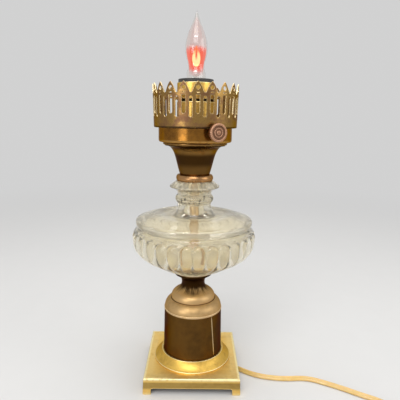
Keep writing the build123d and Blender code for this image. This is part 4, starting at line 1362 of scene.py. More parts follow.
    def cap(self) -> Piece:
        """Turn the domed cap with its bright rim bead and a ring of painted shade where the spool stands on
        it.
        """
        span = Span.of("shoulder_cap")
        rim, under = span.low + self.cap_rim, span.high - self.cap_sheet
        inner = span.radius - self.cap_sheet
        outline = Outline().along(
            (inner, span.low), (span.radius, span.low, self.cap_round, 1.0),
            (span.radius, rim, self.cap_round, 1.0), (span.radius - self.cap_step, rim + FINE_EDGE))
        outline.bulge(self.cap_top_radius, span.high, self.cap_bulge, steps=20)
        # painted shade: a dark ring on the dome at the spool's foot
        outline.along(
            (Span.of("waist_spool").radius + FINE_EDGE, span.high, 0.0, -1.0), (self.pipe_hole, span.high),
            (self.pipe_hole, under), (self.cap_top_radius - self.cap_sheet, under))
        outline.bulge(inner, rim, -self.cap_bulge, steps=12)
        dress = Dress("satin_brass", "satin_brass", ("shoulder_cap",), crease=40.0)
        return self.turn("shoulder_cap_spun", outline, dress)

    def spool(self) -> Piece:
        """Turn the waisted stem with its cup."""
        span = Span.of("waist_spool")
        foot, floor = span.low, span.high - self.cup_drop
        shoulder, waist, cup = ((radius, foot + height) for radius, height in (
            self.spool_shoulder, self.spool_waist, self.spool_cup))
        inner = cup[0] - self.cup_rim_width
        outline = Outline().along(
            (self.pipe_hole, foot), (span.radius, foot, EDGE), (span.radius, foot + self.spool_land))
        outline.spline([shoulder], UPWARDS, self.spool_slope)
        outline.spline([waist], self.spool_slope, UPWARDS)
        outline.spline([cup], UPWARDS, self.cup_slope)
        outline.along((cup[0], span.high, EDGE, 1.0), (inner, span.high, EDGE, 1.0), (inner, floor),
                      (self.pipe_hole, floor))
        dress = Dress("waist_bronze", "dark_bronze", ("waist_spool",), crease=40.0)
        return self.turn("waist_spool_turned", outline, dress)

    def build(self) -> None:
        """Build every piece of the base."""
        self.plinth()
        self.seat_ring()
        self.pillar()
        self.seam()
        self.cap()
        self.spool()


@dataclass
class Font(Assembly):
    """The pressed glass bowl with its lobes, neck bead and flange."""

    ring: RingTree
    lobes: int = 32
    lobe_bearing: float = 5.0
    lobe_steps: int = 14
    lobe_depth: float = 0.0020
    lobe_growth: float = 0.25
    lobe_arch_top: float = 0.0470
    lobe_arch_rise: float = 0.0058
    lobe_tip: float = 0.0040
    lobe_brow: float = 0.0022
    lobe_foot: float = 0.0015
    lobe_fade: float = 0.006
    foot_radius: float = 0.0194
    foot_slope: float = 20.0
    bowl: Spot = (0.0477, 0.0139)
    belly: Spot = (0.0668, 0.0402)
    groove: Spot = (0.0605, 0.0524)
    groove_slope: float = 145.0
    shoulder: Spot = (0.0631, 0.0581)
    shoulder_slope: float = 35.0
    crest: Spot = (0.0595, 0.0616)
    top: Spot = (0.0360, 0.0656)
    neck: Spot = (0.0181, 0.0784)
    bead_height: float = 0.0090
    bead_radius: float = 0.0206
    stipple_depth: float = 0.0012
    stipple_fade: float = 5.0
    stipple_rows: int = 4
    flange: Spot = (0.0266, 0.0953)
    flange_slope: float = 22.0
    flange_edge: float = 0.0013
    collar_radius: float = 0.0195
    spigot_radius: float = 0.0156
    spigot_height: float = 0.0033
    bore: float = 0.0095
    pipe_hole: float = 0.0053
    wall: float = 0.0042
    floor: float = 0.0060

    def outline(self, foot: float, high: float) -> Outline:
        """Draw the closed outline of the glass, from its foot up the outside and down the inside.

        Args:
            foot: Level of the font's foot.
            high: Level of the spigot's top.

        Returns:
            The outline.
        """
        def at(spot: Spot, inset: float = 0.0, rise: float = 0.0) -> Spot:
            """A point with its height counted from the foot, moved inwards and up."""
            return (spot[0] - inset, foot + (spot[1] + rise))

        wall, flange_top = self.wall, high - self.spigot_height
        line = Outline().to(self.foot_radius, foot)
        line.spline([at(self.bowl), at(self.belly)], self.foot_slope, UPWARDS, steps=20)
        line.spline([at(self.groove)], UPWARDS, self.groove_slope, steps=32)
        line.spline([at(self.shoulder)], self.shoulder_slope, UPWARDS, steps=8)
        line.spline([at(self.crest), at(self.top), at(self.neck)], UPWARDS, UPWARDS, steps=10)
        line.bulge(*at(self.neck, rise=self.bead_height), self.bead_radius - self.neck[0], steps=24)
        line.spline([at(self.flange)], UPWARDS, self.flange_slope, steps=8)
        line.to(*at(self.flange, rise=self.flange_edge), SOFT_EDGE)
        line.along((self.collar_radius, flange_top), (self.spigot_radius, flange_top),
                   (self.spigot_radius, high), (self.bore, high), at((self.bore, self.neck[1])))
        line.spline([at(self.top, rise=-wall), at(self.groove, wall), at(self.belly, wall)],
                    DOWNWARDS, DOWNWARDS, steps=8)
        line.spline([at(self.bowl, wall, wall / 2), at((self.pipe_hole, self.floor))],
                    DOWNWARDS, INWARDS, steps=10)
        return line.to(self.pipe_hole, foot)

    def lobe_relief(self, height: float, radius: float, share: float) -> float:
        """Depth of the lobes below the outline.

        Args:
            height: Height above the font's foot.
            radius: Radius of the outline there.
            share: 0 on a lobe's middle line and 1 on the groove beside it.

        Returns:
            Distance outwards, which is below zero in a groove.
        """
        fade = min(max((height - self.lobe_foot) / self.lobe_fade, 0.0), 1.0)
        depth = self.lobe_depth * (self.belly[0] / radius) ** self.lobe_growth * fade
        edge = self.lobe_arch_top - self.lobe_arch_rise * (1 - sqrt(max(1 - share * share, 0.0)))
        if height >= edge:
            above = min((height - edge) / self.lobe_brow, 1.0)
            return -depth * (1 - above) ** 2
        below = min((edge - height) / self.lobe_tip, 1.0)
        return -depth * (1 - sqrt(1 - share * share) * sqrt(1 - (1 - below) ** 2))

    def relief(self, foot: float) -> Relief:
        """Relief of the lobes and of the neck's stipple, as a function of a station and an angle."""
        pitch = tau / self.lobes

        def depth(station: Station, turn: float) -> float:
            """Distance outwards at one point."""
            height = station.height - foot
            if station.wear < 0.0 and height < self.groove[1]:
                return self.lobe_relief(height, station.radius, min(abs(2 * turn / pitch - 1), 1.0))
            rise = (height - self.neck[1]) / self.bead_height
            if 0.0 < rise < 1.0 and station.radius > self.neck[0] - HAIR:
                across, up = turn / pitch, rise * self.stipple_rows / 2
                weave = abs((across + up) % 1 - 0.5) + abs((across - up) % 1 - 0.5)
                fade = min(1.0, self.stipple_fade * min(rise, 1 - rise))
                return -self.stipple_depth * fade * abs(weave * 2 - 1)
            return 0.0

        return depth

    def build(self) -> None:
        """Press the glass from one lobe, repeated round the axis."""
        span = Span.of("glass_font")
        pitch = tau / self.lobes
        stations = self.outline(span.low, span.high).rounded()
        rim = span.low + self.groove[1]
        belly = next(index for index, station in enumerate(stations) if station.height > rim)
        stations[:belly] = [Station(station.radius, station.height, -1.0) for station in stations[:belly]]
        sector = turned_mesh("font_lobe", stations, self.lobe_steps, pitch,
                             radians(self.lobe_bearing) - pitch / 2, self.relief(span.low))
        mesh = self.ring.repeat("font_pressed", sector, self.lobes, self.finishes["font_glass"])
        weld(mesh)
        self.put("font_pressed", mesh, Dress("font_glass", "font_glass", ("glass_font",), crease=38.0))


@dataclass
class Burner(Assembly):
    """Collar, bell, seam ring, drum, gallery and switch knob."""

    ring: RingTree
    collar_inset: float = 0.0012
    collar_chamfer: float = 0.0005
    collar_bore: float = 0.0134
    bell_foot: float = 0.0157
    bell_slope: float = 72.0
    bell_stem: Spot = (0.0200, 0.0156)
    bell_flare: Spot = (0.0240, 0.0264)
    bell_sheet: float = 0.0009
    bell_stub: Spot = (0.0133, 0.0024)
    seam_bore: float = 0.0285
    seam_round: float = 0.0012
    drum_sheet: float = 0.0009
    drum_round: float = 0.0024
    pipe_hole: float = 0.0053
    peaks: int = 20
    crown_bearing: float = 3.0
    strips: int = 6
    sheet: float = 0.0010
    rim: float = 0.00030
    floor_bore: float = 0.0200
    wall_foot: float = 0.0433
    wall_round: float = 0.0016
    # painted shade on the wall's rounded foot, below zero
    wall_painted_shade: float = -0.6
    plain_wall: float = 0.0080
    panel_spare: float = 0.002
    panel_reach: float = 0.6
    tip_half: float = 0.00025
    valley_drop: float = 0.0102
    valley_half: float = 0.0014
    throat_drop: float = 0.0072
    throat_half: float = 0.0022
    peak_bulge: float = 0.00045
    peak_steps: int = 8
    eye_drop: float = 0.0058
    eye_radius: float = 0.00185
    slit_drop: float = 0.0101
    slit_half: Spot = (0.0016, 0.00045)
    slit_points: int = 16
    short_foot: float = 0.0140
    short_drop: float = 0.0126
    short_half: float = 0.00185
    long_foot: float = 0.0108
    long_drop: float = 0.0136
    long_half: float = 0.0015
    knob_bearing: float = 25.3
    knob_notches: int = 30
    knob_notch: float = 0.00045
    knob_notch_power: float = 0.6
    knob_notched: float = 0.0007
    knob_chamfer: float = 0.0006
    knob_dish: float = 0.0066
    knob_dish_depth: float = 0.0008
    knob_ring: Spot = (0.0046, 0.0036)
    knob_ring_height: float = 0.0005
    knob_boss: float = 0.0021
    knob_boss_height: Spot = (0.0006, 0.0007)
    # painted shade in the dish's recesses, below zero
    knob_painted_shade: float = -0.7
    knob_thickness: float = 0.0042
    knob_reach: float = 0.0530
    knob_radius: float = 0.0090

    def collar(self) -> Piece:
        """Turn the barrel-shaped collar."""
        span = Span.of("collar")
        edge = span.radius - self.collar_inset
        outline = Outline().along((self.collar_bore, span.low + self.collar_chamfer), (edge, span.low, EDGE))
        outline.bulge(edge, span.high, self.collar_inset, steps=16)
        outline.to(self.collar_bore, span.high, FINE_EDGE)
        dress = Dress("collar_copper", "copper_brass", ("collar",), crease=50.0)
        return self.turn("collar_rolled", outline, dress)

    def bell(self) -> Piece:
        """Spin the flared bell."""
        span = Span.of("burner_bell")
        sheet = self.bell_sheet
        stub, foot = self.bell_stub[0], span.low + self.bell_stub[1]

        def side(inset: float) -> list[Spot]:
            """Points of the bell's side at an inset, from its foot."""
            return [(self.bell_stem[0] - inset, foot + self.bell_stem[1]),
                    (self.bell_flare[0] - inset, foot + self.bell_flare[1] + inset),
                    (span.radius, span.high - sheet + inset)]

        outline = Outline().along(
            (stub - sheet, span.low), (stub, span.low), (stub, foot), (self.bell_foot, foot, EDGE))
        outline.spline(side(0.0), self.bell_slope, OUTWARDS, steps=12)
        rim, *back = reversed(side(sheet))
        outline.to(*rim)
        back.append((self.bell_foot - sheet, foot + sheet))
        outline.spline(back, INWARDS, INWARDS + self.bell_slope, steps=9)
        outline.to(stub - sheet, foot + sheet)
        dress = Dress("bell_bronze", "dark_bronze", ("burner_bell",), crease=50.0)
        return self.turn("bell_spun", outline, dress)

    def seam_ring(self) -> Piece:
        """Roll the bead between bell and drum."""
        span = Span.of("seam_ring")
        outline = Outline().along(
            (self.seam_bore, span.low), (span.radius, span.low, self.seam_round),
            (span.radius, span.high, self.seam_round), (self.seam_bore, span.high))
        dress = Dress("seam_bronze", "antique_brass", ("seam_ring",), crease=60.0)
        return self.turn("seam_bead", outline, dress)

    def drum(self) -> Piece:
        """Spin the drum that the gallery sits on."""
        span = Span.of("burner_drum")
        inner, floor = span.radius - self.drum_sheet, span.low + self.drum_sheet
        outline = Outline().along(
            (self.pipe_hole, span.low), (span.radius, span.low, self.drum_round),
            (span.radius, span.high, EDGE), (inner, span.high, EDGE),
            (inner, floor, self.drum_round - self.drum_sheet), (self.pipe_hole, floor))
        dress = Dress("drum_brass", "antique_brass", ("burner_drum",), crease=50.0)
        return self.turn("drum_spun", outline, dress)

    def crown_side(self, half: float, height: float) -> list[Spot]:
        """Edge of the crown from a valley's middle to the next tip, across and up from the floor."""
        side = arc((0.0, height - self.valley_drop + self.valley_half), self.valley_half, -90, 0, 6)
        throat = Vector((self.throat_half, height - self.throat_drop))
        way = Vector((half - self.tip_half, height)) - throat
        normal = Vector((way.y, -way.x)).normalized()
        for step in range(self.peak_steps + 1):
            share = step / self.peak_steps
            spot = throat + way * share - normal * (4 * share * (1 - share) * self.peak_bulge)
            side.append((spot.x, spot.y))
        return side

    def panel_loops(self, half: float, height: float) -> list[list[Spot]]:
        """Outline and holes of one flat panel, a little wider than its sector.

        Args:
            half: Half of a sector's width.
            height: Height of the crown above the gallery's floor.

        Returns:
            The loops, across from the peak's middle and up from the floor.
        """
        side = self.crown_side(half, height)
        spare = [spot for spot in side if spot[0] < self.panel_reach * half]
        right = [(half + x, z) for x, z in reversed(spare)] + [(half - x, z) for x, z in side[1:]]
        left = [(-x, z) for x, z in reversed(right)]
        below = self.plain_wall - self.panel_spare
        outline = [(left[-1][0], below), (right[0][0], below)] + right + left
        eye = arc((0.0, height - self.eye_drop), self.eye_radius, 0, 345, 23)
        across, up = self.slit_half
        turns = [tau * step / self.slit_points for step in range(self.slit_points)]
        slit = [(across * cos(turn), height - self.slit_drop + up * sin(turn)) for turn in turns]
        head, drop = height - self.short_drop, self.short_half
        short = [(drop, head), (-drop, head)]
        short += arc((0.0, self.short_foot + drop), drop, 180, 360, 12)
        loops = [outline, eye, slit, short]
        low = degrees(atan2(sqrt(drop ** 2 - self.long_half ** 2), self.long_half))
        for middle in (-half, half):
            loop = arc((middle, height - self.long_drop - self.long_half), self.long_half, 0, 180, 10)
            loop += arc((middle, self.long_foot + drop), drop, 180 - low, 360 + low, 18)
            loops.append(loop)
        return loops

    def panel(self, floor: float, height: float, radius: float) -> Mesh:
        """Cut one sector of the pierced wall, bent to the crown's round.

        Args:
            floor: Level of the gallery's floor.
            height: Height of the crown.
            radius: Outer radius of the crown's top.

        Returns:
            The mesh of one sector.
        """
        reach = pi / self.peaks
        half = radius * reach
        mesh = plate_mesh("crown_panel", self.panel_loops(half, height), self.sheet, self.rim)
        wear = []
        with editing(mesh) as work:
            cuts = [((strip * half / self.strips, 0, 0), (1, 0, 0), strip == self.strips, strip == 0)
                    for strip in range(self.strips + 1)]
            cuts.append(((0, self.plain_wall, 0), (0, 1, 0), False, True))
            for place, normal, outer, inner in cuts:
                bmesh.ops.bisect_plane(work, geom=work.verts[:] + work.edges[:] + work.faces[:], dist=1e-8,
                                       plane_co=place, plane_no=normal, clear_outer=outer, clear_inner=inner)
            bmesh.ops.triangulate(work, faces=[face for face in work.faces if len(face.verts) > 4])
            copied = bmesh.ops.duplicate(work, geom=work.verts[:] + work.edges[:] + work.faces[:])["geom"]
            for part in copied:
                if isinstance(part, bmesh.types.BMVert):
                    part.co.x = -part.co.x
            faces = [part for part in copied if isinstance(part, bmesh.types.BMFace)]
            bmesh.ops.reverse_faces(work, faces=faces)
            bmesh.ops.remove_doubles(work, verts=work.verts, dist=HAIR)
            for vert in work.verts:
                across, up, out = vert.co
                cut = abs(out) < self.sheet / 2 - HAIR and up > self.plain_wall + HAIR
                wear.append(1.0 if cut else 0.0)
                bearing = radians(self.crown_bearing) + reach * across / half
                now = self.wall_radius(up, height, radius) - self.sheet / 2 + out
                vert.co = (now * sin(bearing), -now * cos(bearing), floor + up)
        keep_wear(mesh, wear)
        return mesh

    def wall_radius(self, up: float, height: float, radius: float) -> float:
        """Outer radius of the leaning wall at a height above the floor."""
        return self.wall_foot + (radius - self.wall_foot) * up / height

    def gallery(self) -> Piece:
        """Join the pierced crown to its turned floor, with painted shade on the wall's rounded foot."""
        span = Span.of("gallery")
        height = span.high - span.low
        panel = self.panel(span.low, height, span.radius)
        mesh = self.ring.repeat("gallery_pierced", panel, self.peaks, self.finishes["gallery_brass"])
        wall = self.wall_radius(self.plain_wall, height, span.radius)
        top, inside = span.low + self.plain_wall, span.low + self.sheet
        # painted shade: the wall's rounded foot is darkened
        outline = Outline().along(
            (wall - self.sheet, top), (self.wall_foot - self.sheet, inside, self.wall_round - self.sheet),
            (self.floor_bore, inside, FINE_EDGE), (self.floor_bore, span.low, FINE_EDGE),
            (self.wall_foot, span.low, self.wall_round, self.wall_painted_shade), (wall, top))
        floor = turned_mesh("gallery_floor", outline.rounded(closed=False), self.peaks * 2 * self.strips,
                            start=radians(self.crown_bearing), closed=False)
        with editing(mesh) as work:
            work.from_mesh(floor)
            bmesh.ops.remove_doubles(work, verts=work.verts, dist=2 * HAIR)
            bmesh.ops.recalc_face_normals(work, faces=work.faces)
        bpy.data.meshes.remove(floor)
        dress = Dress("gallery_brass", "antique_brass", ("gallery",), body="gallery", crease=28.0)
        return self.put("gallery_pierced", mesh, dress)

    def knob_outline(self) -> Outline:
        """Outline of the knob from the middle of its back to the middle of its face, with painted shade in
        the recesses of its dish.
        """
        rim, front, chamfer = self.knob_radius, self.knob_thickness, self.knob_chamfer
        dish = front - self.knob_dish_depth
        outer, inner = self.knob_ring
        raised = dish + self.knob_ring_height
        boss, (side, top) = self.knob_boss, self.knob_boss_height
        return Outline().along(
            (0.0, 0.0), (rim - chamfer, 0.0, FINE_EDGE), (rim, chamfer, EDGE),
            (rim, front - chamfer, SOFT_EDGE), (rim - chamfer, front, EDGE),
            (self.knob_dish + EDGE, front, EDGE), (self.knob_dish, dish, EDGE, -1.0),
            (outer, dish, FINE_EDGE, self.knob_painted_shade), (outer - FINE_EDGE, raised, FINE_EDGE),
            (inner + FINE_EDGE, raised, FINE_EDGE), (inner, dish, FINE_EDGE, self.knob_painted_shade),
            (boss, dish, FINE_EDGE, self.knob_painted_shade), (boss - FINE_EDGE, dish + side, EDGE),
            (0.0, dish + top))

    def knob(self) -> Piece:
        """Cast the round switch knob with its notched edge, raised rim and plain boss, and painted shade in
        its dish.
        """
        pitch = tau / self.knob_notches

        def notch(station: Station, turn: float) -> float:
            """Depth of the notches in the knob's edge."""
            if station.radius < self.knob_radius - self.knob_notched:
                return 0.0
            return -self.knob_notch * (1 - sin(pi * turn / pitch) ** self.knob_notch_power)

        stations = self.knob_outline().rounded(closed=False)
        sector = turned_mesh("knob_sector", stations, 6, pitch, relief=notch, closed=False)
        mesh = self.ring.repeat("knob_cast", sector, self.knob_notches, self.finishes["knob_copper"])
        weld(mesh)
        low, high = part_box("knob")
        turn = radians(self.knob_bearing)
        out = Vector((sin(turn), -cos(turn), 0.0))
        axes = Matrix((Vector((cos(turn), sin(turn), 0.0)), UP, out)).transposed().to_4x4()
        seat = out * (self.knob_reach - self.knob_thickness) + UP * ((low.z + high.z) / 2)
        mesh.transform(Matrix.Translation(seat) @ axes)
        dress = Dress("knob_copper", "copper_brass", ("knob",), body="knob", crease=35.0)
        return self.put("knob_cast", mesh, dress)

    def build(self) -> None:
        """Build every piece of the burner."""
        self.collar()
        self.bell()
        self.seam_ring()
        self.drum()
        self.gallery()
        self.knob()


@dataclass
class Socket(Assembly):
    """The drawn socket shell and the insulating liner that stands out of it."""

    sheet: float = 0.0008
    groove_height: float = 0.0354
    groove_depth: float = 0.0006
    groove_half: float = 0.0011
    groove_mouth: float = 1.6
    lip_drop: float = 0.0020

    def shell(self) -> Piece:
        """Draw the shell with its pressed groove, darkened near black by painted shade, and its rolled lip.
        """
        span = Span.of("socket_shell")
        inner, lip = span.radius - self.sheet, span.high - self.lip_drop
        groove, bottom = span.low + self.groove_height, span.radius - self.groove_depth
        half, mouth = self.groove_half, self.groove_mouth * self.groove_half
        # painted shade: the groove's floor is darkened near black
        outline = Outline().along(
            (inner, span.low), (span.radius, span.low, EDGE), (span.radius, groove - mouth, FINE_EDGE),
            (bottom, groove - half, FINE_EDGE, -1.0), (bottom, groove + half, FINE_EDGE, -1.0),
            (span.radius, groove + mouth, FINE_EDGE), (span.radius, lip, SOFT_EDGE), (inner, lip, EDGE))
        dress = Dress("shell_brass", "shell_brass", ("socket_shell",), crease=45.0)
        return self.turn("socket_shell_drawn", outline, dress)

    def liner(self) -> Piece:
        """Roll the insulating liner."""
        span = Span.of("socket_liner")
        inner = span.radius - self.sheet
        outline = Outline().along((inner, span.low), (span.radius, span.low), (span.radius, span.high, EDGE),
                                  (inner, span.high, EDGE))
        dress = Dress("black_insulator", "black_insulator", ("socket_liner",))
        return self.turn("socket_liner_rolled", outline, dress, steps=96)

    def build(self) -> None:
        """Build the pieces of the socket that show."""
        self.shell()
        self.liner()


@dataclass
class Bulb(Assembly):
    """The flame bulb: screw cap, clear glass, stem, flame electrodes and their glow."""

    cap_sheet: float = 0.0005
    cap_lip: Spot = (0.0006, 0.0004)
    cap_inside: Spot = (0.001, 0.0006)
    thread_depth: float = 0.0009
    thread_turns: int = 6
    thread_fade: float = 0.003
    thread_sink: float = 0.0004
    thread_steps: int = 72
    foot_radius: float = 0.0098
    foot_slope: float = 110.0
    bead_height: float = 0.0085
    waist: Spot = (0.0084, 0.0140)
    belly: Spot = (0.0115, 0.0330)
    taper: Spot = (0.0048, 0.0560)
    tip_slope: float = 115.0
    wall: float = 0.0006
    stem_radius: float = 0.0030
    stem_shoulder: float = 0.003
    stem_head: float = 0.0019
    stem_round: float = 0.0008
    flame_half: float = 0.0041
    flame_belly: float = 0.0075
    flame_shank: float = 0.0008
    flame_slope: float = 30.0
    flame_tip: float = 0.00015
    flame_gap: float = 0.0016
    flame_thickness: float = 0.0008
    glow_shares: Spot = (0.94, 0.62)
    glow_foot: Spot = (0.6, 0.8)
    glow_round: float = 0.003
    glow_tip: float = 0.006

    def cap(self) -> Piece:
        """Roll the screw cap with a real thread."""
        span = Span.of("bulb_cap")
        length = span.high - span.low
        pitch = length / self.thread_turns
        inner = span.radius - self.thread_depth - self.cap_sheet
        crest = span.radius - self.thread_depth / 2

        def thread(station: Station, turn: float) -> float:
            """Wave of the thread at an angle."""
            if station.radius < crest - HAIR:
                return 0.0
            up = station.height - span.low
            share = min(up / self.thread_fade, (span.high - station.height) / self.thread_fade, 1.0)
            wave = self.thread_depth / 2 * share * cos(tau * up / pitch - turn)
            return wave - (1 - share) * self.thread_sink

        floor, (lip_in, lip_drop) = span.low + self.cap_sheet, self.cap_lip
        inside, head = inner - self.cap_inside[0], span.high - self.cap_inside[1]
        outline = Outline().along((0.0, span.low), (inner, span.low))
        for step in range(self.thread_steps + 1):
            outline.to(crest, span.low + length * step / self.thread_steps)
        outline.along(
            (self.foot_radius, span.high), (self.foot_radius - lip_in, span.high - lip_drop),
            (inside, head), (inside, floor), (0.0, floor))
        dress = Dress("nickel", "nickel_cap", ("bulb_cap",), body="bulb", crease=60.0)
        return self.turn("bulb_cap_rolled", outline, dress, steps=96, relief=thread)

    def glass(self) -> Piece:
        """Blow the flame-shaped envelope."""
        span = Span.of("bulb_glass")

        def line(inset: float) -> list[Spot]:
            """Points of the envelope at an inset, from its bead to its tip."""
            bead = (self.foot_radius, self.bead_height)
            side = [(radius - inset, span.low + height)
                    for radius, height in (bead, self.waist, self.belly, self.taper)]
            return side + [(0.0, span.high - 3 * inset)]

        bead, *points = line(0.0)
        outline = Outline().along((self.foot_radius, span.low), bead)
        outline.spline(points[:2], self.foot_slope, UPWARDS, steps=18)
        outline.spline(points[2:], UPWARDS, self.tip_slope, steps=18)
        tip, *back = reversed(line(self.wall))
        outline.to(*tip)
        outline.spline(back[:2], INWARDS + self.tip_slope, DOWNWARDS)
        outline.spline(back[2:], DOWNWARDS, INWARDS + self.foot_slope)
        outline.to(self.foot_radius - self.wall, span.low)
        dress = Dress("bulb_glass", "bulb_glass", ("bulb_glass",), body="bulb", crease=60.0)
        return self.turn("bulb_envelope", outline, dress, steps=96)

    def stem(self) -> Piece:
        """Draw the glass stem with its pinched head."""
        span = Span.of("bulb_stem")
        shoulder = Span.of("bulb_cap").high
        outline = Outline().along(
            (0.0, span.low), (self.stem_radius, span.low), (self.stem_radius, shoulder, self.stem_shoulder),
            (self.stem_head, span.high, self.stem_round), (0.0, span.high))
        dress = Dress("bulb_glass", "bulb_glass", ("bulb_stem",), body="bulb", crease=60.0)
        return self.turn("bulb_stem_drawn", outline, dress, steps=48)

    def flame_outline(self, low: float, high: float) -> list[Spot]:
        """Outline of one flame-shaped plate, across and up."""
        line = Outline().to(self.flame_shank, low)
        line.spline([(self.flame_half, low + self.flame_belly)], self.flame_slope, UPWARDS)
        line.spline([(self.flame_tip, high)], UPWARDS, self.tip_slope)
        right = [(station.radius, station.height) for station in line.stations]
        return right + [(-x, z) for x, z in reversed(right)]

    def flames(self) -> Piece:
        """Cut the pair of flame-shaped electrodes."""
        low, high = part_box("flame_plates")
        plates = []
        for side in (-1, 1):
            outline = self.flame_outline(low.z, high.z)
            plate = plate_mesh("flame", [outline], self.flame_thickness, FINE_EDGE)
            middle = side * (self.flame_gap + self.flame_thickness) / 2
            plate.transform(Matrix.Translation((0, middle, 0)) @ Matrix.Rotation(pi / 2, 4, "X"))
            plates.append(plate)
        dress = Dress("flame_metal", "flame_metal", ("flame_plates",), body="bulb", crease=30.0)
        return self.put("flame_electrodes", joined("flame_electrodes", plates), dress)

    def glow(self) -> Piece:
        """Fill the lower half of the glass with shells of glowing gas."""
        glass = Span.of("bulb_glass")
        foot, shoulder = (glass.low + self.bead_height * share for share in self.glow_foot)
        shells = []
        for share in self.glow_shares:
            waist, belly, taper = ((share * (radius - self.wall), glass.low + height)
                                   for radius, height in (self.waist, self.belly, self.taper))
            outline = Outline().along((0.0, foot), (waist[0], shoulder, self.glow_round))
            outline.spline([waist, belly], UPWARDS, UPWARDS, steps=12)
            outline.spline([taper, (0.0, glass.high - self.glow_tip)], UPWARDS, self.tip_slope, steps=8)
            shells.append(turned_mesh("glow", outline.rounded(closed=False), steps=64, closed=False))
        dress = Dress("neon_glow", "flame_metal", (), body="bulb", crease=60.0)
        return self.put("neon_glow", joined("neon_glow", shells), dress)

    def build(self) -> None:
        """Build every piece of the bulb."""
        self.cap()
        self.glass()
        self.stem()
        self.flames()
        self.glow()


